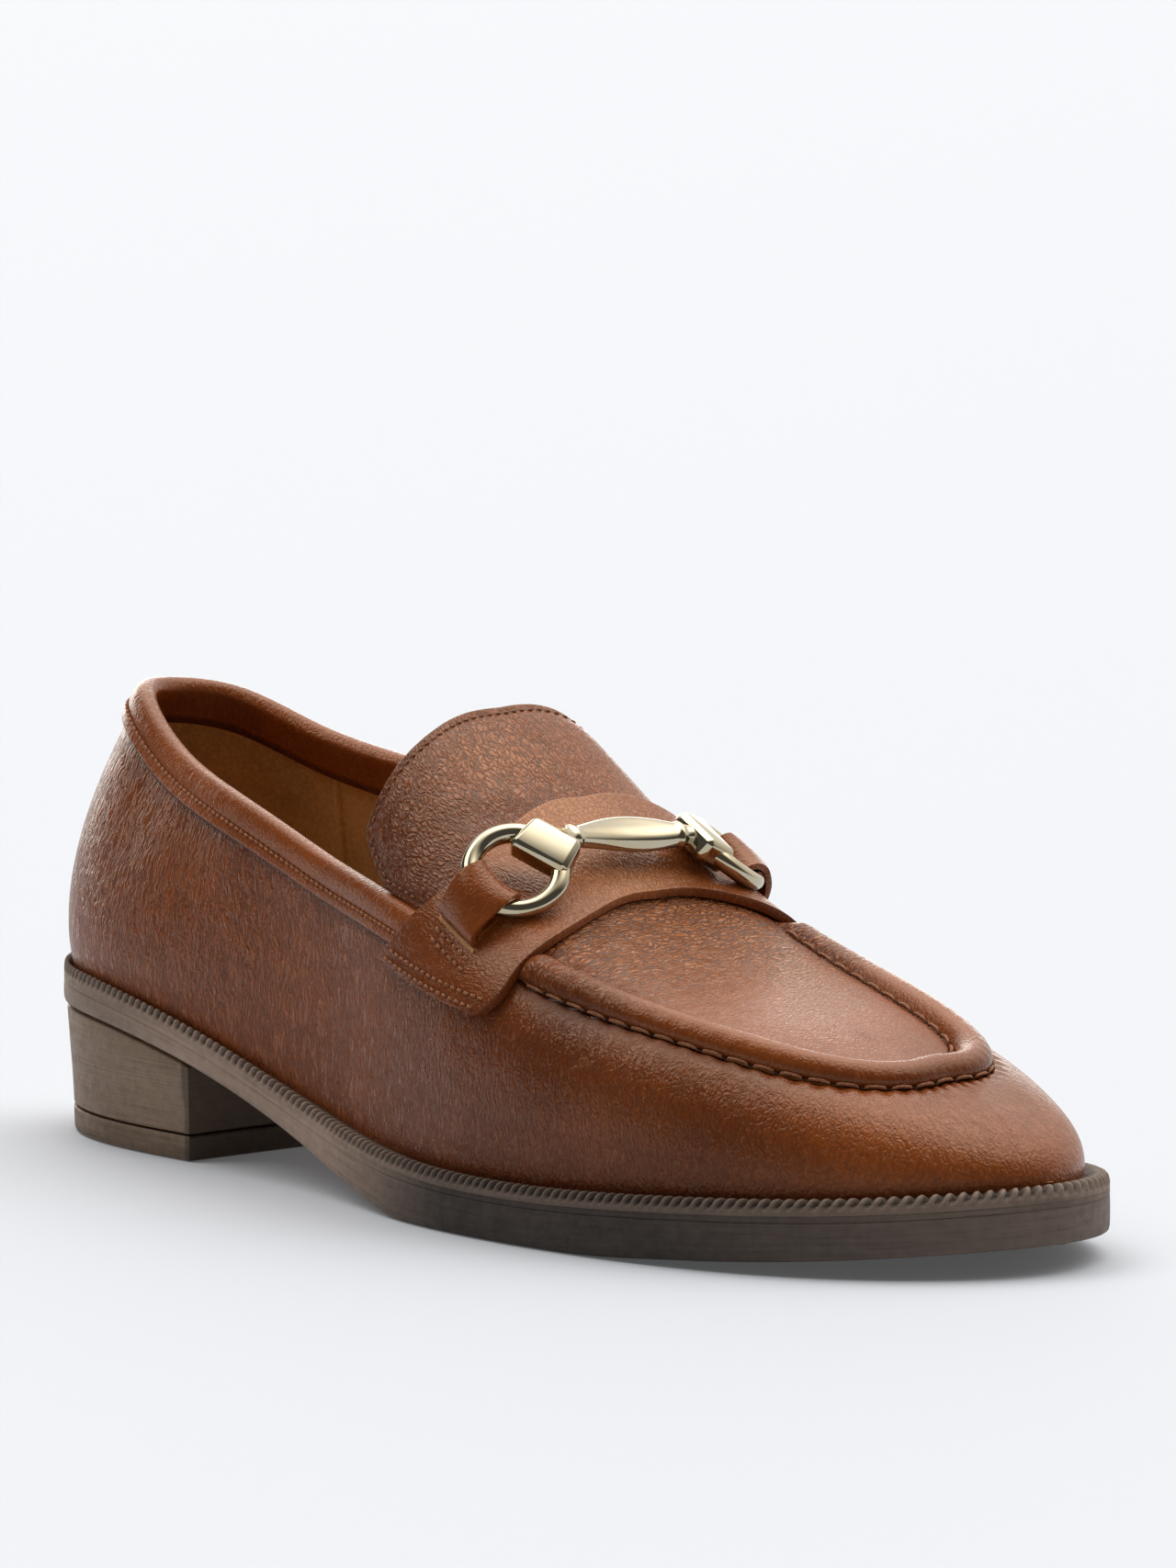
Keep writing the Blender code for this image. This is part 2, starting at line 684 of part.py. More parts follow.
def add_boolean(obj, tool, operation):
    tool.hide_render = True
    tool.display_type = "WIRE"
    modifier = obj.modifiers.new(tool.name, "BOOLEAN")
    modifier.operation = operation
    modifier.solver = "EXACT"
    modifier.object = tool


def torus(name, centre, axes, radius, wire):
    """A ring of round wire, lying square to the last of its axes."""
    along, over, up = axes
    turns, sides = 26, 8
    points = []
    for a in np.linspace(0, 2 * np.pi, turns, endpoint=False):
        spoke = np.cos(a) * over + np.sin(a) * along
        for b in np.linspace(0, 2 * np.pi, sides, endpoint=False):
            points.append(centre + spoke * (radius + wire * np.cos(b)) + up * wire * np.sin(b))
    faces = []
    for i in range(turns):
        for j in range(sides):
            k, m = (i + 1) % turns, (j + 1) % sides
            faces.append((i * sides + j, k * sides + j, k * sides + m, i * sides + m))
    return make_object(name, points, faces, PALE_GOLD, 0.12, 1.0)


def ring_place(bit):
    """A ring's centre, and the directions across its pull, away from its slot and up."""
    centre, _, _, up = strap_frame(bit.along, bit.side * bit.girth)
    slot = strap_frame(bit.slot_along, bit.side * bit.slot_girth)[0]
    over = centre - slot
    over -= up * over.dot(up)
    over /= np.linalg.norm(over)
    along = np.cross(over, up) * -bit.side
    lean = np.radians(bit.lean)
    axes = (along, over * np.cos(lean) + up * np.sin(lean), up * np.cos(lean) - over * np.sin(lean))
    return centre + up * bit.lift, *axes


def bit_rings():
    for bit, name in ((OUTER_BIT, "bit_ring_outer"), (INNER_BIT, "bit_ring_inner")):
        centre, *axes = ring_place(bit)
        torus(name, centre, axes, RING_RADIUS, WIRE_RADIUS)


def bit_bar():
    """A bar that swells in its middle, with a block at each end closed round a ring's wire."""
    steps, sides = 17, 10
    ends = [ring_place(OUTER_BIT), ring_place(INNER_BIT)]
    seat = RING_RADIUS + BAR_SEAT * BLOCK_DEPTH
    start, stop = (centre + over * seat for centre, _, over, _ in ends)
    middle, toeward, _, up = strap_frame(BAR_ALONG, BIT_MIDDLE)
    path = spline([0.0, 0.5, 1.0], [start, middle + up * BAR_LIFT, stop])
    points, faces = [], []
    for t in np.linspace(0, 1, steps):
        run = path(t + 0.01) - path(t - 0.01)
        up = np.cross(toeward, run)
        up /= np.linalg.norm(up)
        along = np.cross(run, up)
        along /= np.linalg.norm(along)
        swell = np.sin(np.pi * t)
        wide, thick = (neck + (full - neck) * swell for neck, full in zip(BAR_NECK, BAR_MIDDLE))
        for a in np.linspace(0, 2 * np.pi, sides, endpoint=False):
            points.append(path(t) + along * wide * np.cos(a) + up * thick * np.sin(a))
    for i in range(steps - 1):
        for j in range(sides):
            k = (j + 1) % sides
            faces.append((i * sides + j, i * sides + k, (i + 1) * sides + k, (i + 1) * sides + j))
    faces.append(tuple(range(sides)))
    faces.append(tuple(range((steps - 1) * sides, steps * sides)))
    bar = make_object("bit_bar", points, faces, PALE_GOLD, 0.12, 1.0)
    for (centre, *axes), name in zip(ends, ("outer", "inner")):
        sizes = (BLOCK_LENGTH, BLOCK_DEPTH, BLOCK_THICK)
        corners = box_points(centre + axes[1] * RING_RADIUS, axes, sizes)
        add_boolean(bar, make_object("block_tool_" + name, corners, BOX_FACES, PALE_GOLD), "UNION")
        bore = torus("bore_tool_" + name, centre, axes, RING_RADIUS, WIRE_RADIUS + GAP)
        add_boolean(bar, bore, "DIFFERENCE")
    return bar


def ring_tabs():
    """Folded leather tabs: each comes up out of its slot, round the ring's curved wire and back down."""
    slices, bends = 7, 7
    half = 0.5 * GAP
    sunk = 0.5 * STRAP_WALL
    for bit, name in ((OUTER_BIT, "ring_tab_outer"), (INNER_BIT, "ring_tab_inner")):
        ring, along, over, up = ring_place(bit)
        slot, slot_along, inward, slot_up = strap_frame(bit.slot_along, bit.side * bit.slot_girth)
        slot_over = -bit.side * inward
        pull = ring - over * RING_RADIUS - slot
        pull -= along * pull.dot(along)
        pull /= np.linalg.norm(pull)
        lift = np.cross(along, pull) * -bit.side
        inner, outer = [], []
        for edge in np.linspace(-0.5, 0.5, slices) * TAB_WIDTH:
            foot = slot + slot_along * edge
            drop = np.sqrt(RING_RADIUS**2 - edge**2)
            wire = ring + along * edge - over * drop
            broad = drop - np.sqrt((RING_RADIUS - WIRE_RADIUS) ** 2 - edge**2) + GAP
            slim = WIRE_RADIUS + GAP
            path = [
                (foot + slot_over * half - slot_up * sunk, slot_over),
                (foot + slot_over * half + slot_up * TAB_RISE_UNDER, pull * 0.6 - lift * 0.8),
            ]
            for turn in np.radians(np.linspace(-90, 90, bends)):
                facing = pull * np.cos(turn) + lift * np.sin(turn)
                bend = over * broad * facing.dot(over) + up * slim * facing.dot(up)
                path.append((wire + bend, facing))
            path.append((foot - slot_over * half + slot_up * TAB_RISE_OVER, lift * 0.6 - slot_over * 0.8))
            path.append((foot - slot_over * half - slot_up * sunk, -slot_over))
            inner.extend(point for point, _ in path)
            outer.extend(point + facing * TAB_WALL for point, facing in path)
        make_shell(name, outer, inner, grid_faces(slices, len(path)), LEATHER, 0.45)


def clear_scene():
    for obj in list(bpy.data.objects):
        bpy.data.objects.remove(obj)


def main():
    clear_scene()
    outsole()
    welt()
    heel()
    insole()
    upper()
    tongue()
    collar_binding()
    saddle_strap()
    bit_rings()
    bit_bar()
    ring_tabs()


main()
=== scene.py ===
"""Dresses the loafer's solids: leather, lining, thread, sole, heel, bit, floor, light and camera.

The leather pieces are laid over the same last as the solids: sections from the feather edge,
where upper and sole meet, to the ridge along the top of the foot. Metres, +X to the toe, +Z up.
"""

from collections import namedtuple

import bmesh
import bpy
import numpy as np
from mathutils import Matrix, Vector


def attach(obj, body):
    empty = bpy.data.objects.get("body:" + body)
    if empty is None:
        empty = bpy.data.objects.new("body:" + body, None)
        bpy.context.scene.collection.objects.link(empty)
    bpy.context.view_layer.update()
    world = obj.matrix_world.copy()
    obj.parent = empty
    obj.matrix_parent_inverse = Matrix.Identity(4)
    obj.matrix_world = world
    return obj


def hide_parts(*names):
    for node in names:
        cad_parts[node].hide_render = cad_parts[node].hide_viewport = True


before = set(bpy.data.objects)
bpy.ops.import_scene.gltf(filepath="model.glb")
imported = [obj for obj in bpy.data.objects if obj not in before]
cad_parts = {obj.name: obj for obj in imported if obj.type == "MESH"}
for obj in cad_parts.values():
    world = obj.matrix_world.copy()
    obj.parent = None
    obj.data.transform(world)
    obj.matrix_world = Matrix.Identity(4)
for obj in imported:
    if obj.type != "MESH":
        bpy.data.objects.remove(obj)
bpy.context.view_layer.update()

bl_info = {
    "name": "Loafer dressing",
    "version": (1, 0, 0),
    "blender": (4, 5, 0),
    "location": "3D View > Sidebar > Loafer",
    "description": "Builds the leather, thread, sole, heel and bit of a loafer over its solids",
    "category": "Object",
}

MM = 0.001

# The last. Each row is one section, given for both sides of the foot, lengths in millimetres.
Station = namedtuple(
    "Station",
    "name x outer inner feather spine_x spine_y "
    "flare flare_h shoulder shoulder_h crown outer_line inner_line reach under",
)
STATIONS = [
    Station("heel_back", 3.6, 0.0, 0.0, 30.8, 46, 0, 1.12, 0.25, 0.92, 0.58, 0.34, 0.62, 0.62, 2.2, 25.0),
    Station("heel_corner", 13.8, 18.2, 18.2, 30.6, 48, 0, 1.14, 0.25, 0.91, 0.56, 0.36, 0.62, 0.605, 2.2, 25.0),
    Station("heel_side", 34.0, 27.2, 27.2, 29.5, 58, 0, 1.14, 0.25, 0.85, 0.42, 0.41, 0.588, 0.582, 2.4, 24.3),
    Station("breast", 66.0, 29.3, 28.8, 23.5, 82, 1, 1.14, 0.26, 0.95, 0.60, 0.52, 0.482, 0.49, 2.6, 18.6),
    Station("waist", 105.0, 32.3, 28.6, 13.5, 115, 3, 0.98, 0.35, 1.02, 1.00, 0.80, 0.362, 0.37, 3.2, 7.6),
    Station("instep", 145.0, 41.5, 34.5, 9.0, 150, 2, 1.05, 0.40, 1.02, 1.00, 0.74, 0.478, 0.49, 4.2, 0.0),
    Station("ball", 180.0, 42.7, 35.8, 8.5, 180, 0, 1.08, 0.45, 1.11, 1.12, 0.66, 0.552, 0.565, 4.8, 0.0),
    Station("vamp", 212.0, 37.6, 35.0, 9.9, 203, 0, 1.07, 0.45, 1.08, 1.10, 0.64, 0.592, 0.62, 5.0, 1.2),
    Station("toe_corner", 243.5, 21.5, 27.2, 11.8, 214, 1, 1.05, 0.48, 1.01, 1.02, 0.62, 0.68, 0.70, 5.0, 3.6),
    Station("toe_tip", 259.0, -5.0, 5.0, 13.3, 216, 1, 1.04, 0.46, 1.00, 1.02, 0.62, 0.79, 0.79, 5.0, 5.2),
]
Ridge = namedtuple("Ridge", "x height")
RIDGE = [
    Ridge(0, 106.0),
    Ridge(50, 106.0),
    Ridge(85, 103.0),
    Ridge(100, 97.5),
    Ridge(115, 88.5),
    Ridge(130, 77.5),
    Ridge(145, 66.5),
    Ridge(160, 56.7),
    Ridge(180, 47.4),
    Ridge(200, 41.8),
    Ridge(216, 37.7),
    Ridge(230, 33.5),
    Ridge(245, 29.0),
    Ridge(260, 24.5),
]
TREAD_FLAT_FROM, TREAD_FLAT_TO = 0.146, 0.192

# Distances along the shoe below are measured from the section that meets the ridge here.
STRAP_RIDGE_X = 0.153
THROAT_ALONG = 0.0010

# Saddle strap: its back and front edges at each girth from the ridge, in millimetres.
Strap = namedtuple("Strap", "girth back front")
STRAP = [
    Strap(0.0, -17.8, 8.6),
    Strap(6.5, -16.6, 9.4),
    Strap(12.5, -14.3, 11.4),
    Strap(19.5, -10.8, 14.5),
    Strap(27.5, -7.4, 17.4),
    Strap(33.5, -5.5, 18.6),
    Strap(39.0, -6.0, 19.0),
    Strap(45.0, -9.2, 18.6),
    Strap(50.5, -12.5, 14.5),
    Strap(58.5, -18.0, 8.5),
]
STRAP_END_BACK = 0.0585
STRAP_END_FRONT = 0.0502
# Half the strap's mean length, and half the length of its slots.
STRAP_HALF = 0.054
SLOT_HALF = 0.0056

# Tongue: its top edge at each girth from the ridge, in millimetres.
Tongue = namedtuple("Tongue", "girth top")
TONGUE = [
    Tongue(0, -44.0),
    Tongue(6, -42.0),
    Tongue(12, -39.4),
    Tongue(18, -36.3),
    Tongue(28, -32.2),
    Tongue(37, -31.5),
    Tongue(48, -33.0),
]

# The apron's rolled seam: girth in from the seam line, and height, in millimetres.
Roll = namedtuple("Roll", "girth height")
ROLL = [
    Roll(0.2, -0.9),
    Roll(-0.2, -0.1),
    Roll(-0.3, 0.7),
    Roll(0.1, 1.6),
    Roll(1.0, 2.4),
    Roll(2.2, 2.9),
    Roll(3.5, 3.0),
    Roll(4.7, 2.6),
    Roll(5.7, 1.8),
    Roll(6.3, 0.9),
    Roll(6.7, 0.1),
    Roll(7.1, -0.35),
    Roll(7.7, -0.15),
    Roll(9.0, 0.0),
]

# The collar band in section: depth below the topline, and lift from the last, in millimetres.
Band = namedtuple("Band", "depth lift facing")
BAND = [
    Band(6.70, 0.25, 0),
    Band(6.85, 0.80, 0),
    Band(6.80, 1.30, 0),
    Band(6.50, 1.55, 0),
    Band(5.60, 1.55, 0),
    Band(4.90, 1.45, 0),
    Band(4.50, 1.28, 0),
    Band(4.10, 1.45, 0),
    Band(3.00, 1.66, 0),
    Band(1.80, 1.72, 0),
    Band(0.70, 1.62, 0),
    Band(-0.20, 1.28, 0),
    Band(-0.75, 0.70, 0),
    Band(-0.98, -0.10, 0),
    Band(-0.95, -0.90, 1),
    Band(-0.65, -1.70, 1),
    Band(-0.10, -2.45, 1),
    Band(1.20, -2.75, 1),
    Band(4.00, -2.70, 1),
    Band(6.00, -2.65, 1),
    Band(7.80, -2.60, 1),
    Band(8.20, -2.40, 1),
    Band(8.20, -2.00, 1),
    Band(5.00, -1.95, 1),
    Band(0.60, -1.90, 1),
    Band(-0.30, -1.20, 1),
    Band(-0.50, -0.60, 0),
    Band(-0.20, 0.10, 0),
    Band(1.00, 0.30, 0),
]

# The bit: each ring's place along the shoe, its girth, its height over
# the strap, its lean to the side and roll to the toe, its block's turn, and its slot.
Bit = namedtuple("Bit", "name side along girth lift lean roll turn slot_along slot_girth")
BITS = [
    Bit("outer", -1, 0.0034, 0.0288, 0.0040, 13.0, 12.0, 16.0, 0.0031, 0.0402),
    Bit("inner", 1, 0.0020, 0.0208, 0.0018, 8.0, 0.0, 0.0, -0.0004, 0.0322),
]


class LoaferSizes(bpy.types.PropertyGroup):
    """Sizes of the pieces laid over the last."""

    leather: bpy.props.FloatProperty(
        name="Leather", description="Thickness of the upper's leather", default=0.0012, unit="LENGTH"
    )
    lining: bpy.props.FloatProperty(
        name="Lining", description="Thickness of the lining", default=0.0005, unit="LENGTH"
    )
    tongue: bpy.props.FloatProperty(
        name="Tongue", description="Thickness of the tongue", default=0.0022, unit="LENGTH"
    )
    strap: bpy.props.FloatProperty(
        name="Strap", description="Thickness of the saddle strap", default=0.0019, unit="LENGTH"
    )
    strap_lift: bpy.props.FloatProperty(
        name="Strap lift", description="Gap under the strap", default=0.0004, unit="LENGTH"
    )
    tab_width: bpy.props.FloatProperty(
        name="Tab width", description="Width of the tabs that hold the rings", default=0.0102, unit="LENGTH"
    )
    tab_wall: bpy.props.FloatProperty(
        name="Tab wall", description="Thickness of each tab layer", default=0.0012, unit="LENGTH"
    )
    ring_radius: bpy.props.FloatProperty(
        name="Ring radius", description="Radius of the bit's rings", default=0.0082, unit="LENGTH"
    )
    wire_radius: bpy.props.FloatProperty(
        name="Wire radius", description="Radius of the rings' wire", default=0.0018, unit="LENGTH"
    )
    rib_pitch: bpy.props.FloatProperty(
        name="Rib pitch", description="Distance between the welt's ribs", default=0.0020, unit="LENGTH"
    )
    seam_pitch: bpy.props.FloatProperty(
        name="Seam pitch", description="Stitch length of the apron seam", default=0.0050, unit="LENGTH"
    )
    fine_pitch: bpy.props.FloatProperty(
        name="Fine pitch", description="Stitch length of the machine rows", default=0.0018, unit="LENGTH"
    )


class LoaferColours(bpy.types.PropertyGroup):
    """Colours of the pieces."""

    leather: bpy.props.FloatVectorProperty(
        name="Leather", description="Tan of the upper", default=(0.300, 0.074, 0.0145), subtype="COLOR"
    )
    # Dark tone of the leather's mottling, also the colour of its painted shade.
    burnish: bpy.props.FloatVectorProperty(
        name="Burnish",
        description="Dark of the burnished leather",
        default=(0.078, 0.015, 0.0035),
        subtype="COLOR",
    )
    # Light of the rubbed grain, also the colour of the painted sheen.
    worn_and_sheen: bpy.props.FloatVectorProperty(
        name="Worn", description="Light of the rubbed grain", default=(0.470, 0.175, 0.062), subtype="COLOR"
    )
    facing: bpy.props.FloatVectorProperty(
        name="Facing", description="Brown inside the collar", default=(0.036, 0.018, 0.012), subtype="COLOR"
    )
    lining: bpy.props.FloatVectorProperty(
        name="Lining", description="Ochre of the lining", default=(0.620, 0.350, 0.140), subtype="COLOR"
    )
    raw_edge: bpy.props.FloatVectorProperty(
        name="Raw edge", description="Cut edge of the leather", default=(0.290, 0.135, 0.052), subtype="COLOR"
    )
    thread: bpy.props.FloatVectorProperty(
        name="Thread", description="Sewing thread", default=(0.330, 0.118, 0.042), subtype="COLOR"
    )
    sole: bpy.props.FloatVectorProperty(
        name="Sole", description="Edge of the sole", default=(0.036, 0.0255, 0.0195), subtype="COLOR"
    )
    heel: bpy.props.FloatVectorProperty(
        name="Heel", description="Stacked heel", default=(0.225, 0.148, 0.094), subtype="COLOR"
    )
    metal: bpy.props.FloatVectorProperty(
        name="Metal", description="Pale gold of the bit", default=(0.500, 0.448, 0.330), subtype="COLOR"
    )
    floor: bpy.props.FloatVectorProperty(
        name="Floor", description="Pale floor", default=(0.536, 0.571, 0.638), subtype="COLOR"
    )


def spline(knots, values, closed=False):
    """A cubic curve through values at knots. A closed one returns to its first value at the last knot."""
    knots = np.asarray(knots, float)
    values = np.asarray(values, float).reshape(len(knots), -1)
    step = np.diff(knots)
    slope = np.diff(values, axis=0) / step[:, None]
    count = len(knots)
    matrix = np.eye(count)
    change = np.zeros_like(values)
    for i in range(1, count - 1):
        matrix[i, i - 1 : i + 2] = step[i - 1], 2 * (step[i - 1] + step[i]), step[i]
        change[i] = 6 * (slope[i] - slope[i - 1])
    if closed:
        matrix[0, [0, 1, -2]] = 2 * (step[0] + step[-1]), step[0], step[-1]
        change[0] = 6 * (slope[0] - slope[-1])
        matrix[-1, 0] = -1.0
    bend = np.linalg.solve(matrix, change)

    def at(u):
        u = np.asarray(u, float)
        if closed:
            u = knots[0] + np.mod(u - knots[0], knots[-1] - knots[0])
        i = np.clip(np.searchsorted(knots, u, side="right") - 1, 0, count - 2)
        h = step[i][..., None]
        a = (knots[i + 1] - u)[..., None]
        b = (u - knots[i])[..., None]
        curve = (bend[i] * a**3 + bend[i + 1] * b**3) / (6 * h)
        curve += (values[i] / h - bend[i] * h / 6) * a + (values[i + 1] / h - bend[i + 1] * h / 6) * b
        return curve

    return at


def station_knots():
    """Distance along the outline from the heel's back to each station, as the mean of both sides."""
    outer = np.array([(s.x, -s.outer) for s in STATIONS]) * MM
    inner = np.array([(s.x, s.inner) for s in STATIONS]) * MM
    chords = [np.linalg.norm(np.diff(side, axis=0), axis=1) for side in (outer, inner)]
    return np.concatenate([[0.0], np.cumsum(np.mean(chords, axis=0))])


KNOT = station_knots()
AT = {s.name: k for s, k in zip(STATIONS, KNOT)}
TOE = KNOT[-1]
ROUND = 2 * TOE
# The stations on the outer and on the inner side that are level with one of the outer side.
SIDES = (lambda u: u, lambda u: ROUND - u)
# Columns of the last's table that are read by themselves.
FEATHER, SPINE_X, LINE, REACH, UNDER = 2, 3, 10, 11, 12
ridge_height = spline([row.x * MM for row in RIDGE], [row.height * MM for row in RIDGE])


def last_table():
    """All columns of the table as one curve round the outline: outer side, toe, inner side."""
    there = [(s, s.x, -s.outer, s.outer_line) for s in STATIONS]
    back = [(s, s.x, s.inner, s.inner_line) for s in STATIONS[-2::-1]]
    rows = []
    for s, x, y, line in there + back:
        lengths = np.array([x, y, s.feather, s.spine_x, s.spine_y]) * MM
        shares = [s.flare, s.flare_h, s.shoulder, s.shoulder_h, s.crown, line]
        rows.append([*lengths, *shares, s.reach * MM, s.under * MM])
    return spline(np.concatenate([KNOT, ROUND - KNOT[-2::-1]]), rows, closed=True)


table = last_table()


def last_point(u, v):
    """A point of the last: u runs round the outline, v from the feather edge, 0, to the ridge, 1."""
    u, v = np.broadcast_arrays(np.asarray(u, float), np.asarray(v, float))
    columns = np.moveaxis(table(u), -1, 0)
    x, y, feather, spine_x, spine_y, flare, flare_h, shoulder, shoulder_h, crown = columns[:10]
    w = 1 - v
    b0, b1, b2, b3, b4 = w**4, 4 * w**3 * v, 6 * w**2 * v**2, 4 * w * v**3, v**4
    reach = b0 + flare * b1 + shoulder * b2 + crown * b3
    rise = flare_h * b1 + shoulder_h * b2 + b3 + b4
    px = spine_x + (x - spine_x) * reach
    py = spine_y + (y - spine_y) * reach
    pz = feather + (ridge_height(px)[..., 0] - feather) * rise
    return np.stack([px, py, pz], -1)


def last_normal(u, v):
    """The outward unit normal of the last."""
    du, dv = 2e-4, 2e-3
    v = np.clip(v, dv, 1 - dv)
    along = last_point(np.asarray(u) + du, v) - last_point(np.asarray(u) - du, v)
    up = last_point(u, np.asarray(v) + dv) - last_point(u, np.asarray(v) - dv)
    normal = np.cross(along, up)
    return normal / np.linalg.norm(normal, axis=-1, keepdims=True)


def lifted(u, v, lift):
    """Points raised from the last along its normals."""
    return last_point(u, v) + last_normal(u, v) * np.asarray(lift, float)[..., None]


FINE = np.linspace(0, 1, 161)


def v_at_girth(u, girth):
    """v at a girth measured from the ridge down the section at u."""
    u, girth = np.broadcast_arrays(np.asarray(u, float), np.asarray(girth, float))
    v = np.zeros(u.size)
    for start in range(0, u.size, 1500):
        part = slice(start, start + 1500)
        some, want = u.ravel()[part], girth.ravel()[part]
        run = last_point(some[:, None], FINE[None, ::-1])
        length = np.cumsum(np.linalg.norm(np.diff(run, axis=1), axis=2), axis=1)
        length = np.concatenate([np.zeros((len(some), 1)), length], axis=1)
        i = np.clip((length < want[:, None]).sum(axis=1) - 1, 0, len(FINE) - 2)
        row = np.arange(len(some))
        share = (want - length[row, i]) / (length[row, i + 1] - length[row, i])
        v[part] = 1 - (i + share) * FINE[1]
    return np.clip(v, 0, 1).reshape(u.shape)


def line_v(u):
    """v of the collar line, which runs on as the apron seam."""
    return table(u)[..., LINE]


def line_girth(u):
    """Girth from the ridge to the collar line or apron seam."""
    u = np.asarray(u, float)
    girth = np.zeros(u.size)
    for start in range(0, u.size, 1500):
        some = u.ravel()[start : start + 1500]
        v = line_v(some)[:, None] + (1 - line_v(some)[:, None]) * np.linspace(0, 1, 81)
        run = last_point(some[:, None], v)
        girth[start : start + 1500] = np.linalg.norm(np.diff(run, axis=1), axis=2).sum(axis=1)
    return girth.reshape(u.shape)


def over_foot(u, girth, lift):
    """Points over the foot at station u: girth from the ridge is negative on the outer side."""
    u, girth, lift = np.broadcast_arrays(u, girth, lift)
    side = np.where(girth <= 0, u, ROUND - u)
    return lifted(side, v_at_girth(side, np.abs(girth)), lift)


strap_edges = spline([row.girth * MM for row in STRAP], [(row.back * MM, row.front * MM) for row in STRAP])
tongue_top = spline([row.girth * MM for row in TONGUE], [row.top * MM for row in TONGUE])


def u_at_ridge(x):
    """The station whose section meets the ridge at x."""
    u = np.linspace(0, TOE, 600)
    return float(np.interp(x, table(u)[:, SPINE_X], u))


def outline_normal(u):
    """The outward direction of the outline seen from above."""
    run = table(np.asarray(u) + 1e-4)[..., :2] - table(np.asarray(u) - 1e-4)[..., :2]
    normal = np.stack([run[..., 1], -run[..., 0]], -1)
    return normal / np.linalg.norm(normal, axis=-1, keepdims=True)


def feather_ring(u, grow, height):
    """The feather outline grown sideways, at the given heights."""
    flat = table(u)[:, :2] + outline_normal(u) * np.broadcast_to(grow, len(u))[:, None]
    return np.column_stack([flat, np.broadcast_to(height, len(u))])


def smooth_step(x, low, high):
    """Eases from 0 at low to 1 at high."""
    t = np.clip((np.asarray(x, float) - low) / (high - low), 0, 1)
    return t * t * (3 - 2 * t)


def bump_at(x, centre, width):
    """A soft bump of height 1."""
    return np.exp(-(((np.asarray(x, float) - centre) / width) ** 2))


def sole_under(u):
    """The underside of the sole, eased down to the floor under the tread."""
    rows = table(u)
    x = rows[..., 0]
    tread = smooth_step(x, TREAD_FLAT_FROM - 0.014, TREAD_FLAT_FROM)
    tread = tread * smooth_step(x, TREAD_FLAT_TO + 0.020, TREAD_FLAT_TO - 0.008)
    return np.maximum(rows[..., UNDER], 0.0) * (1 - tread)


def sole_centre():
    """The middle of the sole's length and width, which the row frame puts at its origin."""
    u = np.linspace(0, ROUND, 1200)
    edge = feather_ring(u, table(u)[:, REACH], 0.0)
    return (edge.min(axis=0) + edge.max(axis=0)) / 2


ORIGIN = sole_centre()
STRAP_U = u_at_ridge(STRAP_RIDGE_X)
THROAT_U = STRAP_U + THROAT_ALONG
STRAP_FRONT_U = STRAP_U + max(row.front for row in STRAP) * MM


# Making pieces


def deselect():
    if bpy.context.object and bpy.context.object.mode != "OBJECT":
        bpy.ops.object.mode_set(mode="OBJECT")
    bpy.ops.object.select_all(action="DESELECT")


def take(obj):
    """Selects one object alone and makes it active."""
    deselect()
    obj.select_set(True)
    bpy.context.view_layer.objects.active = obj
    return obj


def new_sheet(name, points, turned=False):
    """A grid primitive laid over points, columns by rows, with a flat map in tenths of a metre."""
    columns, rows = points.shape[:2]
    deselect()
    bpy.ops.mesh.primitive_grid_add(x_subdivisions=columns - 1, y_subdivisions=rows - 1, size=1.0)
    obj = bpy.context.object
    obj.name = obj.data.name = name
    mesh = obj.data
    flat = np.zeros(len(mesh.vertices) * 3, np.float32)
    mesh.vertices.foreach_get("co", flat)
    flat = flat.reshape(-1, 3)
    i = np.rint((flat[:, 0] + 0.5) * (columns - 1)).astype(int)
    j = np.rint((flat[:, 1] + 0.5) * (rows - 1)).astype(int)
    mesh.vertices.foreach_set("co", (points[i, j] - ORIGIN).astype(np.float32).ravel())
    across = np.linalg.norm(np.diff(points, axis=0), axis=2).mean(axis=1)
    up = np.linalg.norm(np.diff(points, axis=1), axis=2).mean(axis=0)
    across = np.concatenate([[0], np.cumsum(across)]) * 10
    up = np.concatenate([[0], np.cumsum(up)]) * 10
    corner = np.zeros(len(mesh.loops), int)
    mesh.loops.foreach_get("vertex_index", corner)
    flow = np.column_stack([across[i[corner]], up[j[corner]]]).astype(np.float32)
    flow = flow[:, ::-1] if turned else flow
    mesh.uv_layers[0].data.foreach_set("uv", flow.ravel())
    mesh.update()
    return obj, i, j


def paint(obj, name, values):
    """Stores a value for every vertex."""
    layer = obj.data.attributes.get(name) or obj.data.attributes.new(name, "FLOAT", "POINT")
    layer.data.foreach_set("value", np.broadcast_to(values, len(obj.data.vertices)).astype(np.float32))


def modify(obj, kind, **values):
    """Adds a modifier and applies it."""
    take(obj)
    modifier = obj.modifiers.new(kind.lower(), kind)
    for key, value in values.items():
        setattr(modifier, key, value)
    bpy.ops.object.modifier_apply(modifier=modifier.name)


def weld(obj, distance=2e-6):
    """Merges points that lie together."""
    take(obj)
    bpy.ops.object.mode_set(mode="EDIT")
    bpy.ops.mesh.select_all(action="SELECT")
    bpy.ops.mesh.remove_doubles(threshold=distance)
    bpy.ops.object.mode_set(mode="OBJECT")


def turn_out(obj):
    """Turns the faces outwards."""
    take(obj)
    bpy.ops.object.mode_set(mode="EDIT")
    bpy.ops.mesh.select_all(action="SELECT")
    bpy.ops.mesh.normals_make_consistent(inside=False)
    bpy.ops.object.mode_set(mode="OBJECT")


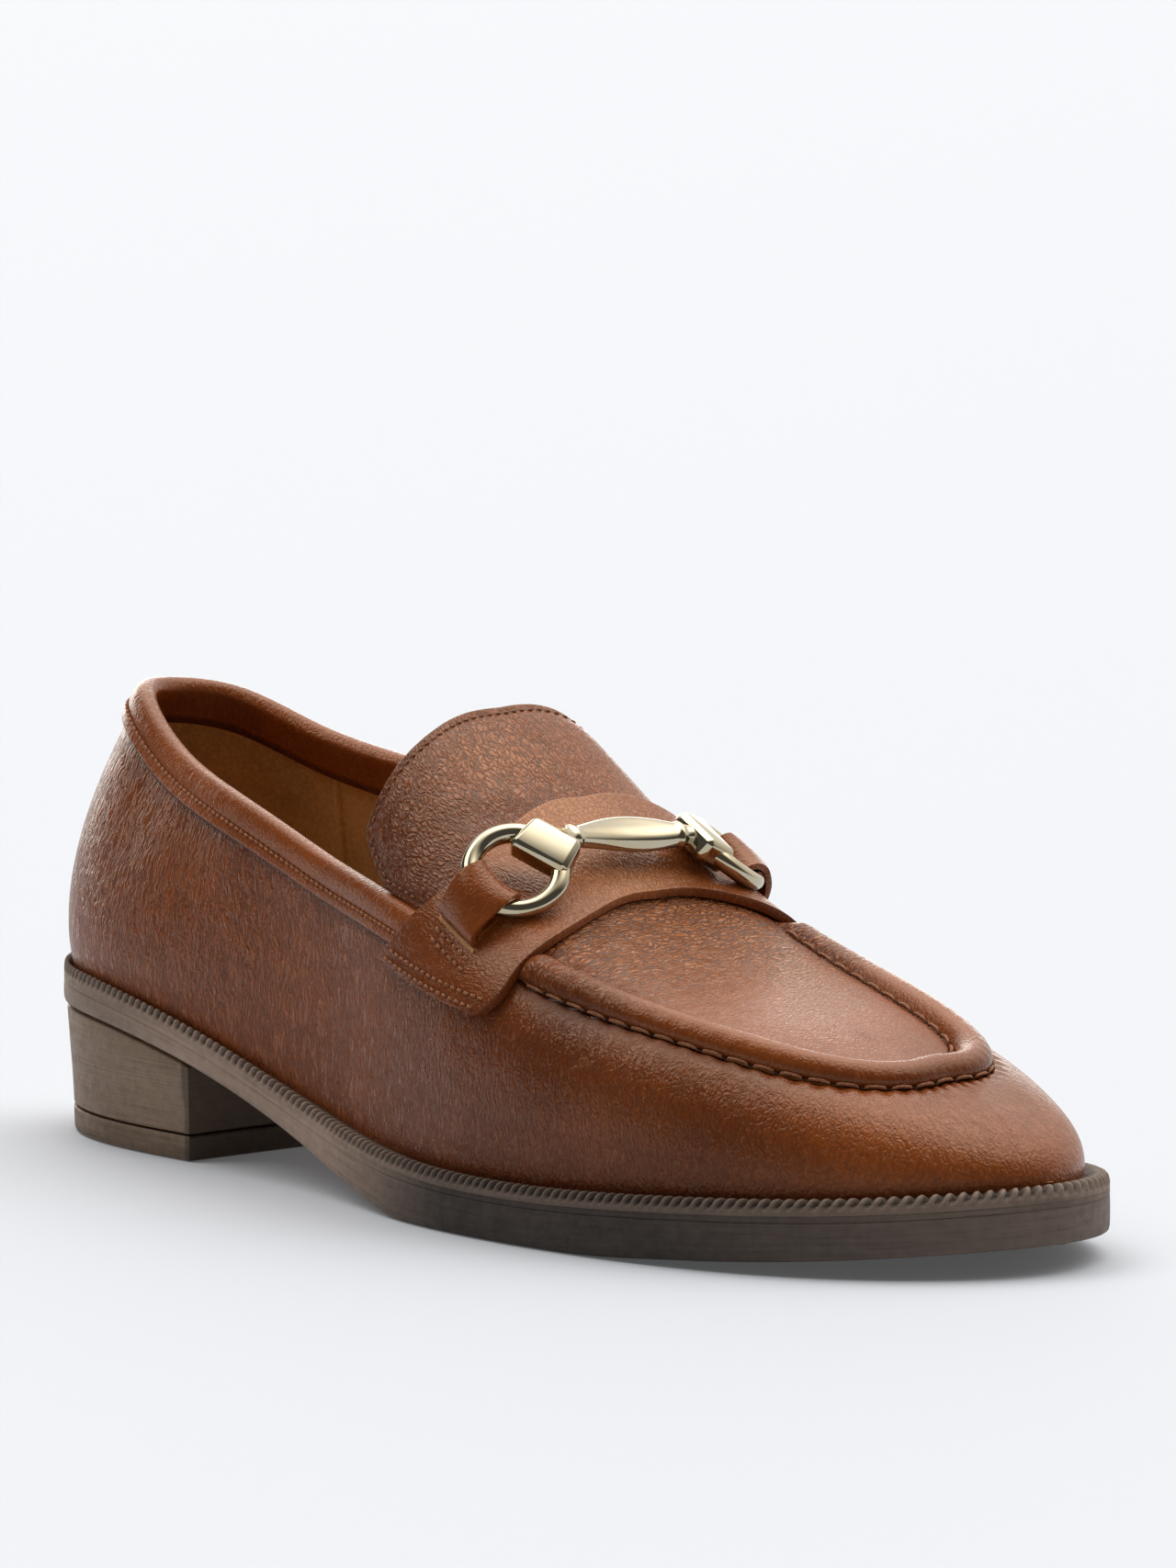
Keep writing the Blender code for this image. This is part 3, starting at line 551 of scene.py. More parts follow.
def close_ends(obj):
    """Fills the two open ends of a tube."""
    weld(obj)
    bpy.ops.object.mode_set(mode="EDIT")
    bpy.ops.mesh.select_all(action="DESELECT")
    bpy.ops.mesh.select_non_manifold(extend=False)
    bpy.ops.mesh.edge_face_add()
    bpy.ops.object.mode_set(mode="OBJECT")
    turn_out(obj)


def finish_piece(obj, materials, slot, *nodes, angle=40.0):
    """Gives a finished piece its materials and its body, and hides the nodes it stands for; its record slot is
    not used.
    """
    take(obj)
    bpy.ops.object.shade_smooth_by_angle(angle=np.radians(angle))
    obj.data.materials.clear()
    for material in materials:
        obj.data.materials.append(material)
    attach(obj, "root")
    if nodes:
        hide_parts(*nodes)
    deselect()
    return obj


# Materials


def group_tree(name, sockets_in, sockets_out):
    """A shader node group with named inputs and outputs."""
    tree = bpy.data.node_groups.new(name, "ShaderNodeTree")
    for label, kind in sockets_in:
        tree.interface.new_socket(name=label, in_out="INPUT", socket_type=kind)
    for label, kind in sockets_out:
        tree.interface.new_socket(name=label, in_out="OUTPUT", socket_type=kind)
    return tree, tree.nodes.new("NodeGroupInput"), tree.nodes.new("NodeGroupOutput")


def add(tree, kind, values=None, **settings):
    """A node with settings and with values or links for its inputs."""
    node = tree.nodes.new("ShaderNode" + kind)
    for key, value in settings.items():
        setattr(node, key, value)
    for key, value in (values or {}).items():
        if isinstance(value, bpy.types.NodeSocket):
            tree.links.new(value, node.inputs[key])
        else:
            node.inputs[key].default_value = value
    return node


def maths(tree, operation, a, b=0.0, clamp=False):
    return add(tree, "Math", {0: a, 1: b}, operation=operation, use_clamp=clamp).outputs[0]


def remap(tree, value, low, high, to_low=0.0, to_high=1.0):
    values = {0: value, 1: low, 2: high, 3: to_low, 4: to_high}
    return add(tree, "MapRange", values, interpolation_type="SMOOTHSTEP").outputs[0]


def blend_colour(tree, share, a, b):
    return add(tree, "Mix", {0: share, 6: a, 7: b}, data_type="RGBA").outputs[2]


def vectors(tree, operation, a, b):
    return add(tree, "VectorMath", {0: a, 1: b}, operation=operation).outputs[0]


def stretch(tree, vector, x, y, z):
    return vectors(tree, "MULTIPLY", vector, (x, y, z))


def noise(tree, vector, scale, detail=2.0, roughness=0.5):
    values = {"Vector": vector, "Scale": scale, "Detail": detail, "Roughness": roughness}
    return add(tree, "TexNoise", values).outputs[0]


def cell_edges(tree, vector, scale):
    """Distance from the edges of irregular cells."""
    cells = add(tree, "TexVoronoi", {"Vector": vector, "Scale": scale}, feature="DISTANCE_TO_EDGE")
    return cells.outputs["Distance"]


def painted(tree, name):
    """A value that is stored on the piece."""
    return add(tree, "Attribute", attribute_name=name).outputs["Fac"]


def weighted(tree, *pairs):
    """The sum of values, each times its weight."""
    parts = [maths(tree, "MULTIPLY", value, weight) for value, weight in pairs]
    total = parts[0]
    for part in parts[1:]:
        total = maths(tree, "ADD", total, part)
    return total


def relief(tree, shader, height, depth, socket="Normal"):
    bump = add(tree, "Bump", {"Strength": 1.0, "Distance": depth, "Height": height})
    tree.links.new(bump.outputs[0], shader.inputs[socket])


def shaded(colour, share=1.0):
    """A colour made darker or lighter."""
    return (*(share * c for c in colour), 1)


def leather_group():
    """Pebble grain, folds and cells that follow the piece's flow, painted shade in the creases, mottling and
    rubbed fibres.
    """
    given_sockets = [("Place", "NodeSocketVector"), ("Flow", "NodeSocketVector")]
    given_sockets += [(label, "NodeSocketFloat") for label in ("Crinkle", "Folds", "Cells")]
    out_sockets = [(label, "NodeSocketFloat") for label in ("Height", "Hollow", "Mottle", "Fibre")]
    tree, given, out = group_tree("leather_grain", given_sockets, out_sockets)
    place, flow, crinkle, fold_share, cell_share = given.outputs[:5]
    warp = add(tree, "TexNoise", {"Vector": place, "Scale": 260.0, "Detail": 2.0}).outputs["Color"]
    warp = vectors(tree, "SUBTRACT", warp, (0.5, 0.5, 0.5))
    near = vectors(tree, "ADD", stretch(tree, warp, 0.0014, 0.0014, 0.0014), place)
    pebble = remap(tree, cell_edges(tree, near, 980.0), 0.0, 0.26)
    bend = vectors(tree, "ADD", stretch(tree, warp, 0.030, 0.030, 0.0), flow)
    folds = noise(tree, stretch(tree, bend, 78.0, 17.0, 1.0), 1.0, 3.0, 0.55)
    folds = maths(tree, "ABSOLUTE", maths(tree, "SUBTRACT", folds, 0.5))
    cells = cell_edges(tree, stretch(tree, bend, 128.0, 54.0, 1.0), 1.0)
    height = weighted(tree, (pebble, 0.10), (noise(tree, place, 2600.0), 0.02))
    # The grain's cell edges and the grooves of the folds and cells are darkened: painted shade in the creases.
    crease_shade = maths(tree, "MULTIPLY", maths(tree, "SUBTRACT", 1.0, pebble), 0.10)
    for lines, share, wide, thin in ((folds, fold_share, 0.11, 0.045), (cells, cell_share, 0.32, 0.17)):
        share = maths(tree, "MULTIPLY", share, crinkle)
        swell = maths(tree, "MULTIPLY", share, remap(tree, lines, 0.0, wide))
        groove = maths(tree, "MULTIPLY", share, remap(tree, lines, 0.0, thin, 1.7, 0.0))
        height = maths(tree, "ADD", height, swell)
        crease_shade = maths(tree, "ADD", crease_shade, groove, clamp=True)
    mottle = remap(tree, noise(tree, place, 34.0, 3.0, 0.55), 0.32, 0.68)
    fibre = noise(tree, stretch(tree, bend, 150.0, 26.0, 1.0), 1.0, 3.0, 0.7)
    fibre = remap(tree, fibre, 0.54, 0.70)
    for k, value in enumerate((height, crease_shade, mottle, fibre)):
        tree.links.new(value, out.inputs[k])
    return tree


def new_material(name):
    material = bpy.data.materials.new(name)
    material.use_nodes = True
    tree = material.node_tree
    return material, tree, tree.nodes["Principled BSDF"]


# Weight of folds and of cells in the grain of each leather, and how much of it is rubbed.
LEATHERS = {
    "leather_wall": (0.62, 0.24, 0.30),
    "leather_apron": (0.24, 0.56, 0.20),
    "leather_tongue": (0.22, 0.56, 0.24),
    "leather_strap": (0.16, 0.44, 0.22),
    "leather_collar": (0.30, 0.24, 0.24),
    "leather_tab": (0.16, 0.36, 0.20),
}


def leather_material(name, group, colours):
    """Waxed tan leather with grain, mottled patches, painted shade, painted sheen and rubbed fibres."""
    folds, cells, fibre = LEATHERS[name]
    material, tree, shader = new_material(name)
    spots = add(tree, "TexCoord")
    grain = tree.nodes.new("ShaderNodeGroup")
    grain.node_tree = group
    tree.links.new(spots.outputs["Object"], grain.inputs["Place"])
    tree.links.new(spots.outputs["UV"], grain.inputs["Flow"])
    tree.links.new(painted(tree, "crinkle"), grain.inputs["Crinkle"])
    grain.inputs["Folds"].default_value = folds
    grain.inputs["Cells"].default_value = cells
    height, crease_shade, mottle, fibres = grain.outputs[:4]
    # Painted shade: a stored value darkens creases, recesses and sides that lie in shade; the mottling adds
    # dark patches at random.
    burnish = painted(tree, "burnish")
    dark = shaded(colours.burnish)
    mottle_and_shade = maths(tree, "ADD", maths(tree, "MULTIPLY", mottle, 0.30), burnish, clamp=True)
    colour = blend_colour(tree, mottle_and_shade, shaded(colours.leather), dark)
    # Rubbed fibres lighten the grain at random; a stored value adds painted sheen where the leather catches the
    # bright light.
    fibre_and_sheen = maths(tree, "MULTIPLY", fibres, fibre)
    fibre_and_sheen = maths(tree, "ADD", fibre_and_sheen, painted(tree, "rubbed"), clamp=True)
    colour = blend_colour(tree, fibre_and_sheen, colour, shaded(colours.worn_and_sheen))
    # Painted shade: the leather is darker in the grain's creases.
    colour = blend_colour(tree, crease_shade, colour, dark)
    tree.links.new(colour, shader.inputs["Base Color"])
    gloss = remap(tree, crease_shade, 0.0, 0.6, 0.19, 0.38)
    gloss = maths(tree, "ADD", gloss, remap(tree, burnish, 0.50, 0.72, 0.0, 0.40), clamp=True)
    tree.links.new(gloss, shader.inputs["Roughness"])
    relief(tree, shader, height, 0.00036)
    relief(tree, shader, height, 0.00010, "Coat Normal")
    shader.inputs["Coat Weight"].default_value = 0.08
    shader.inputs["Coat Roughness"].default_value = 0.20
    shader.inputs["Specular IOR Level"].default_value = 0.30
    shader.inputs["Specular Tint"].default_value = (1.0, 0.82, 0.60, 1.0)
    return material


def cloth_material(name, colour, scale, rough, depth, dark):
    """Napped or cut fibre: lining suede, raw edges."""
    material, tree, shader = new_material(name)
    place = add(tree, "TexCoord").outputs["Object"]
    nap = noise(tree, place, scale, 4.0, 0.65)
    shade = weighted(tree, (nap, 0.6), (noise(tree, place, 60.0, 3.0), 0.5))
    tone = blend_colour(tree, remap(tree, shade, 0.35, 0.75), shaded(colour, dark), shaded(colour))
    tree.links.new(tone, shader.inputs["Base Color"])
    tree.links.new(remap(tree, nap, 0.3, 0.7, rough, rough - 0.12), shader.inputs["Roughness"])
    relief(tree, shader, nap, depth)
    shader.inputs["Specular IOR Level"].default_value = 0.3
    return material


def sole_material(name, colour, level, rough, depth, light, along):
    """Moulded sole edge or stacked heel: fine level lines with a dusty mottling."""
    material, tree, shader = new_material(name)
    spots = add(tree, "TexCoord")
    place = spots.outputs["Object"]
    if along == "UV":
        lines = stretch(tree, spots.outputs["UV"], 5.0, 0.1 * level, 1.0)
    else:
        lines = stretch(tree, place, 40.0, 40.0, level)
    lines = noise(tree, lines, 1.0, 4.0, 0.62)
    dust = noise(tree, place, 420.0, 4.0, 0.7)
    mixed = weighted(tree, (lines, 0.55), (dust, 0.35), (noise(tree, place, 28.0), 0.3))
    tone = blend_colour(tree, remap(tree, mixed, 0.42, 0.80), shaded(colour, 0.72), shaded(colour, light))
    # Paler where the stored value asks: partly wear, partly painted light.
    pale = maths(tree, "MULTIPLY", painted(tree, "pale"), remap(tree, mixed, 0.30, 0.75, 0.5, 1.0))
    tone = blend_colour(tree, pale, tone, shaded(colour, 11.0))
    # Painted shade where the stored gap value asks: between the welt's ribs and on the heel's breast.
    tone = blend_colour(tree, painted(tree, "gap"), tone, shaded(colour, 0.2))
    tree.links.new(tone, shader.inputs["Base Color"])
    tree.links.new(remap(tree, dust, 0.3, 0.7, rough + 0.08, rough - 0.08), shader.inputs["Roughness"])
    relief(tree, shader, weighted(tree, (lines, 0.8), (dust, 0.4)), depth)
    shader.inputs["Specular IOR Level"].default_value = 0.4
    return material


def metal_material(name, colour):
    """Polished pale gold plate with faint rub marks."""
    material, tree, shader = new_material(name)
    place = add(tree, "TexCoord").outputs["Object"]
    rubbed = noise(tree, place, 700.0, 3.0)
    warm = shaded(c * k for c, k in zip(colour, (0.97, 0.93, 0.85)))
    tone = blend_colour(tree, remap(tree, noise(tree, place, 160.0), 0.4, 0.7), shaded(colour), warm)
    tree.links.new(tone, shader.inputs["Base Color"])
    tree.links.new(remap(tree, rubbed, 0.3, 0.8, 0.03, 0.08), shader.inputs["Roughness"])
    shader.inputs["Metallic"].default_value = 1.0
    return material


def thread_material(name, colour):
    """Twisted sewing thread."""
    material, tree, shader = new_material(name)
    twist = noise(tree, add(tree, "TexCoord").outputs["Object"], 2400.0)
    tone = blend_colour(tree, remap(tree, twist, 0.35, 0.65), shaded(colour, 0.55), shaded(colour))
    tree.links.new(tone, shader.inputs["Base Color"])
    relief(tree, shader, twist, 0.00008)
    tree.links.new(remap(tree, twist, 0.3, 0.7, 0.75, 0.55), shader.inputs["Roughness"])
    return material


# The colour of each other finish, a factor on it, and what its material asks for.
CLOTHS = {
    "facing_leather": ("facing", 1.0, 700.0, 0.5, 0.00005, 0.7),
    "lining_suede": ("lining", 1.0, 1100.0, 0.9, 0.00010, 0.62),
    "raw_edge": ("raw_edge", 1.0, 1600.0, 0.7, 0.00010, 0.5),
    "pale_cut": ("raw_edge", 1.9, 1600.0, 0.75, 0.00008, 0.7),
    # Needle holes: a dark colour that paints the shade in the holes.
    "needle_hole": ("burnish", 0.4, 900.0, 0.9, 0.00002, 0.8),
}
SOLES = {
    "sole_moulded": ("sole", 1.0, 1900.0, 0.62, 0.00010, 1.5, "UV"),
    "heel_stack": ("heel", 1.0, 2300.0, 0.55, 0.00005, 1.25, "Object"),
    "heel_rubber": ("heel", 0.80, 1500.0, 0.6, 0.00005, 1.25, "Object"),
}
THREADS = {"thread": ("thread", 1.0), "pale_thread": ("thread", 1.35)}
METALS = {"bit_plate": ("metal", 1.0)}
MAKERS = (
    (CLOTHS, cloth_material),
    (SOLES, sole_material),
    (THREADS, thread_material),
    (METALS, metal_material),
)


def finish(name):
    """A material by name, made the first time it is asked for."""
    if name in bpy.data.materials:
        return bpy.data.materials[name]
    colours = bpy.context.scene.loafer_colours
    if name in LEATHERS:
        group = bpy.data.node_groups.get("leather_grain") or leather_group()
        return leather_material(name, group, colours)
    for finishes, maker in MAKERS:
        if name in finishes:
            colour, share, *values = finishes[name]
            return maker(name, tuple(share * c for c in getattr(colours, colour)), *values)
    raise ValueError("no such finish: " + name)


# The upper


def roll_share(u):
    """The apron roll comes out from under the strap over a few millimetres."""
    past = np.minimum(u, ROUND - u) - STRAP_FRONT_U
    return smooth_step(past, -0.0030, 0.0028)


def upper_creases(u, girth):
    """Soft troughs and ridges of the apron: flex lines behind the toe and pulls from the strap."""
    side = np.minimum(u, ROUND - u) - STRAP_FRONT_U
    lift = -0.00022 * bump_at(side, 0.0065, 0.0022) * bump_at(girth, 0.010, 0.012)
    lift += 0.00018 * bump_at(side, 0.0105, 0.0022) * bump_at(girth, 0.012, 0.012)
    lift += -0.00020 * bump_at(side, 0.0150, 0.0026) * bump_at(girth, 0.008, 0.011)
    lift += -0.00015 * bump_at(side, 0.0230, 0.0040) * bump_at(girth, 0.012, 0.010)
    return lift


def wall_creases(u, depth):
    """Soft vertical ripples of the quarters and of the wall below the seam."""
    side = np.minimum(u, ROUND - u)
    lift = 0.00010 * np.sin(side / 0.0041 + 9 * depth) * bump_at(depth, 0.016, 0.012)
    lift += 0.00012 * np.sin(side / 0.0067 + 1.0) * bump_at(depth, 0.004, 0.010)
    lift += -0.00035 * bump_at(side, AT["waist"] - 0.010, 0.016) * bump_at(depth, 0.018, 0.010)
    return lift


# Where the two halves of the lining meet, measured along the inner side from the heel's back.
LINING_SEAM = 0.0510
# The apron's inner row of stitches, in from the seam line.
APRON_STITCH = 0.0072


class LOAFER_OT_upper(bpy.types.Operator):
    """Lays the quarters, the wall of the vamp, the apron with its rolled seam and the lining on the last"""

    bl_idname = "loafer.upper"
    bl_label = "Upper and lining"

    def execute(self, context):
        sizes = context.scene.loafer_sizes
        self.wall(sizes)
        self.apron(sizes)
        self.lining(sizes)
        return {"FINISHED"}

    def wall(self, sizes):
        u = np.linspace(0, ROUND, 961)
        share = 1 - (1 - np.linspace(0, 1, 40)) ** 1.35
        v = line_v(u)[:, None] * share
        columns = np.broadcast_to(u[:, None], v.shape)
        run = np.linalg.norm(np.diff(last_point(columns, v), axis=1), axis=2)
        depth = np.concatenate([np.cumsum(run[:, ::-1], axis=1)[:, ::-1], np.zeros((len(u), 1))], axis=1)
        seam = roll_share(u)[:, None]
        hole = 0.5 + 0.5 * np.cos(2 * np.pi * (u[:, None] - TOE) / sizes.seam_pitch)
        lift = -0.0009 * seam * smooth_step(depth, 0.0016, 0.0)
        lift += -0.00035 * seam * hole * bump_at(depth, 0.0012, 0.0016)
        lift += wall_creases(columns, depth)
        obj, i, j = new_sheet("upper_wall", lifted(columns, v, lift))
        front = smooth_step(np.minimum(u, ROUND - u), AT["waist"], AT["ball"])[:, None]
        toe = smooth_step(np.minimum(u, ROUND - u), AT["vamp"], AT["toe_corner"])[:, None]
        crinkle = 0.58 - 0.12 * front - 0.14 * toe + 0.15 * bump_at(depth, 0.0, 0.008) * (1 - seam)
        crinkle = crinkle - 0.38 * bump_at(depth, 0.0, 0.005) * seam
        # Painted shade: darker along the vamp's side and in a band just below the apron seam, over a little
        # even darkening.
        burnish = 0.10 + 0.34 * front * (1 - toe) + 0.30 * bump_at(depth, 0.0, 0.004) * front
        # Painted shadow: a dark line on the quarters just below the collar band's lower edge.
        burnish = burnish + 0.7 * bump_at(depth, 0.0071, 0.0007) * (1 - seam)
        paint(obj, "crinkle", crinkle[i, j])
        paint(obj, "burnish", burnish[i, j])
        weld(obj)
        modify(obj, "SOLIDIFY", thickness=sizes.leather, offset=-1.0)
        finish_piece(obj, [finish("leather_wall")], "tan_leather", "upper")

    def apron(self, sizes):
        side = np.concatenate([[THROAT_U], np.linspace(THROAT_U + 0.0005, TOE, 250)])
        u = np.concatenate([side, ROUND - side[-2::-1]])
        line = line_girth(u)
        knots = np.linspace(0, 1, len(ROLL))
        profile = spline(knots, [(row.girth * MM, row.height * MM) for row in ROLL])(np.linspace(0, 1, 40))
        rest = np.linspace(0, 1, 27)[1:]
        rolled = np.broadcast_to(profile[:, 0], (len(u), len(profile)))
        level = profile[-1, 0] + (line[:, None] - profile[-1, 0]) * rest
        inward = np.concatenate([rolled, level], axis=1)
        lift = np.concatenate([profile[:, 1], np.zeros(len(rest))]) * roll_share(u)[:, None]
        columns = np.broadcast_to(u[:, None], inward.shape)
        girth = line[:, None] - inward
        v = v_at_girth(columns, np.maximum(girth, 0.0))
        pleat = np.sin(2 * np.pi * (columns - TOE) / sizes.seam_pitch) * bump_at(inward, 0.0012, 0.0016)
        lift = lift + 0.00004 * roll_share(columns) * pleat + upper_creases(columns, girth)
        obj, i, j = new_sheet("apron", lifted(columns, v, lift))
        back = smooth_step(np.minimum(columns, ROUND - columns), AT["vamp"], STRAP_FRONT_U)
        roll = bump_at(inward, 0.003, 0.003)
        paint(obj, "crinkle", (0.20 + 0.75 * back - 0.25 * roll)[i, j])
        # Painted sheen on the apron's back, near the strap, where it catches the bright light.
        paint(obj, "rubbed", (0.58 * back * smooth_step(inward, 0.008, 0.014))[i, j])
        # Painted shade in the crease at the seam's foot and along the inner row of stitches, over a little even
        # darkening.
        burnish = 0.06 + 0.35 * bump_at(inward, 0.0, 0.0022) + 0.25 * bump_at(inward, APRON_STITCH, 0.001)
        paint(obj, "burnish", burnish[i, j])
        weld(obj)
        modify(obj, "SOLIDIFY", thickness=sizes.leather, offset=-1.0)
        finish_piece(obj, [finish("leather_apron")], "tan_leather", "upper")

    def lining(self, sizes):
        seam = ROUND - LINING_SEAM
        u = np.sort(np.concatenate([np.linspace(0, ROUND, 361), seam + np.linspace(-0.0016, 0.0016, 23)]))
        v = line_v(u)[:, None] * np.linspace(0.07, 0.985, 24)
        columns = np.broadcast_to(u[:, None], v.shape)
        past = columns - seam
        lap = 0.0005 * smooth_step(past, -0.0002, 0.0001) * smooth_step(past, 0.0016, 0.0004)
        obj, *_ = new_sheet("lining", lifted(columns, v, -sizes.leather - 0.0001 - lap))
        weld(obj)
        modify(obj, "SOLIDIFY", thickness=sizes.lining, offset=-1.0)
        finish_piece(obj, [finish("lining_suede")], "sock_lining", "upper")


# The row of stitches on the collar band, below the topline, and the gap from its ends to the strap.
COLLAR_STITCH, COLLAR_GAP = 0.0045, 0.0010


def band_end(depth, place):
    """The station where the collar band, this far below the collar, stops short of the strap."""
    u = np.full(np.shape(depth), STRAP_U + STRAP[-1].back * MM)
    for _ in range(12):
        girth = np.clip(line_girth(place(u)) + depth, 0, STRAP_END_BACK)
        u = STRAP_U + strap_edges(girth)[..., 0] + COLLAR_GAP
    return u


class LOAFER_OT_collar(bpy.types.Operator):
    """Rolls the stitched band over the topline, from one side of the strap to the other"""

    bl_idname = "loafer.collar"
    bl_label = "Collar band"

    def execute(self, context):
        depth = np.array([row.depth for row in BAND]) * MM
        lift = np.array([row.lift for row in BAND]) * MM
        closed = np.linspace(0, 1, len(BAND) + 1)
        loop = spline(closed, np.column_stack([depth, lift])[[*range(len(BAND)), 0]], closed=True)
        rows = loop(np.linspace(0, 1, 85))
        ends = [band_end(rows[:, 0], place) for place in SIDES]
        share = np.linspace(1, 0, 301)[:, None]
        outer, inner = ends[0][None, :] * share, ROUND - ends[1][None, :] * share[::-1]
        u = np.concatenate([outer, inner[1:]])
        v = v_at_girth(u, line_girth(u) + np.maximum(rows[:, 0], 0.0))
        points = lifted(u, v, np.broadcast_to(rows[:, 1], u.shape))
        up = last_point(u, line_v(u)) - last_point(u, line_v(u) - 0.02)
        up /= np.linalg.norm(up, axis=2, keepdims=True)
        points += up * np.maximum(-rows[:, 0], 0.0)[None, :, None]
        obj, i, j = new_sheet("collar_band", points[:, ::-1])
        inside = np.interp(np.linspace(0, 1, 85), closed, [*(row.facing for row in BAND), 0])[::-1]
        paint(obj, "crinkle", np.full(len(i), 0.35))
        depths = rows[::-1, 0]
        # Painted shade in the stitch groove, and a painted shadow on the band's cut lower edge, over a little
        # even darkening.
        groove = 0.05 * bump_at(depths, COLLAR_STITCH, 0.0003)
        paint(obj, "burnish", (0.02 + groove + 0.8 * smooth_step(depths, 0.0064, 0.0068))[j])
        faces = np.array([min(p.vertices) for p in obj.data.polygons])
        index = (inside[j[faces]] > 0.5).astype(np.int32)
        obj.data.polygons.foreach_set("material_index", index)
        close_ends(obj)
        materials = [finish("leather_collar"), finish("facing_leather")]
        finish_piece(obj, materials, "tan_leather", "collar_binding")
        return {"FINISHED"}


TONGUE_HALF_GIRTH = 0.0490
TONGUE_CORNER = 0.10
TONGUE_MARGIN = 0.0012
# The tongue's height and half width, as its edge and its row of stitches measure them.
TONGUE_TALL, TONGUE_HALF = 0.044, 0.047
TONGUE_STITCH = 0.0017


def tongue_station(rise, girth):
    """The station of a point of the tongue, this far up it and round the instep."""
    base = THROAT_U - 0.0003
    return base + (STRAP_U + tongue_top(np.abs(girth))[..., 0] - base) * rise


def tongue_reach(rise, place):
    """Half the tongue's girth on one side, kept inside the topline."""
    rises = np.linspace(0, 1, 41)
    wide = TONGUE_HALF_GIRTH * (1 - TONGUE_CORNER * rises**6)
    girth = wide
    for _ in range(10):
        girth = np.minimum(wide, line_girth(place(tongue_station(rises, girth))) - TONGUE_MARGIN)
    return np.interp(rise, rises, girth)


def tongue_place(rise, share, lift):
    """A point of the tongue: rise from its root, 0, to its top edge, 1, and share from side to side."""
    rise, share, lift = np.broadcast_arrays(rise, share, lift)
    outer, inner = (tongue_reach(rise, place) for place in SIDES)
    girth = share * np.where(share <= 0, outer, inner)
    return over_foot(tongue_station(rise, girth), girth, lift)


class LOAFER_OT_tongue(bpy.types.Operator):
    """Lays the rounded tongue over the instep"""

    bl_idname = "loafer.tongue"
    bl_label = "Tongue"

    def execute(self, context):
        sizes = context.scene.loafer_sizes
        rise, share = np.meshgrid(np.linspace(1, 0, 62), np.linspace(-1, 1, 121), indexing="ij")
        edge = np.minimum((1 - rise) * TONGUE_TALL, (1 - np.abs(share)) * TONGUE_HALF)
        lift = 0.0004 * smooth_step(edge, 0.0, 0.006)
        lift -= 0.00022 * bump_at(edge, TONGUE_STITCH, 0.0006)
        crease = np.sin(rise * 21 + share * 9)
        lift += 0.00016 * crease * bump_at(rise, 0.45, 0.22) * bump_at(share, -0.35, 0.3)
        obj, i, j = new_sheet("tongue_flap", tongue_place(rise, share, lift), turned=True)
        paint(obj, "crinkle", (0.80 - 0.35 * smooth_step(share, -0.1, 0.5))[i, j])
        # Painted shade on the tongue's outer side, which is turned from the light, and in the groove of its
        # stitch row.
        burnish = 0.42 * smooth_step(share, -0.30, -0.62) + 0.22 * bump_at(edge, TONGUE_STITCH, 0.0008)
        paint(obj, "burnish", burnish[i, j])
        # Painted sheen high on the tongue's outer half, where it catches the light.
        paint(obj, "rubbed", (0.68 * bump_at(rise, 0.72, 0.20) * bump_at(share, -0.22, 0.26))[i, j])
        modify(obj, "SOLIDIFY", thickness=sizes.tongue, offset=-1.0, material_offset=1, material_offset_rim=0)
        modify(obj, "BEVEL", width=0.0005, segments=3, limit_method="ANGLE", angle_limit=np.radians(50))
        finish_piece(obj, [finish("leather_tongue"), finish("lining_suede")], "tan_leather", "tongue")
        return {"FINISHED"}


def strap_place(reach, share, lift):
    """A point of the strap: reach from the outer end, -1, to the inner, 1, and share from back to front."""
    reach, share, lift = np.broadcast_arrays(reach, share, lift)
    girth = reach * (STRAP_END_BACK + (STRAP_END_FRONT - STRAP_END_BACK) * share)
    edges = strap_edges(np.abs(girth))
    along = edges[..., 0] + (edges[..., 1] - edges[..., 0]) * share
    return over_foot(STRAP_U + along, girth, lift)


def strap_frame(along, girth, sizes):
    """A point on top of the strap, with the directions along the shoe, to its inner side and up."""
    top = sizes.strap_lift + sizes.strap
    step = 0.0015
    spot = over_foot(STRAP_U + along, np.array(girth), top)
    toeward = over_foot(STRAP_U + along + step, girth, top) - over_foot(STRAP_U + along - step, girth, top)
    inward = over_foot(STRAP_U + along, girth + step, top) - over_foot(STRAP_U + along, girth - step, top)
    up = np.cross(toeward, inward)
    up /= np.linalg.norm(up)
    inward /= np.linalg.norm(inward)
    return spot, np.cross(inward, up), inward, up


def ring_place(bit, sizes):
    """A ring's centre, and the directions across its pull, away from its slot and up."""
    centre, _, _, up = strap_frame(bit.along, bit.side * bit.girth, sizes)
    slot = strap_frame(bit.slot_along, bit.side * bit.slot_girth, sizes)[0]
    over = centre - slot
    over = over - up * over.dot(up)
    over /= np.linalg.norm(over)
    along = np.cross(over, up) * -bit.side
    lean, roll = np.radians((bit.lean, bit.roll))
    over, steep = over * np.cos(lean) + up * np.sin(lean), up * np.cos(lean) - over * np.sin(lean)
    along, steep = along * np.cos(roll) - steep * np.sin(roll), steep * np.cos(roll) + along * np.sin(roll)
    return centre + up * bit.lift, along, over, steep


def axes_matrix(centre, axes):
    """A place with its three directions."""
    matrix = Matrix(np.column_stack(axes).tolist()).to_4x4()
    matrix.translation = Vector(centre - ORIGIN)
    return matrix


def apply_place(obj, matrix):
    """Puts an object in place and writes the place into its mesh."""
    take(obj)
    obj.matrix_world = matrix
    bpy.ops.object.transform_apply(location=True, rotation=True, scale=True)


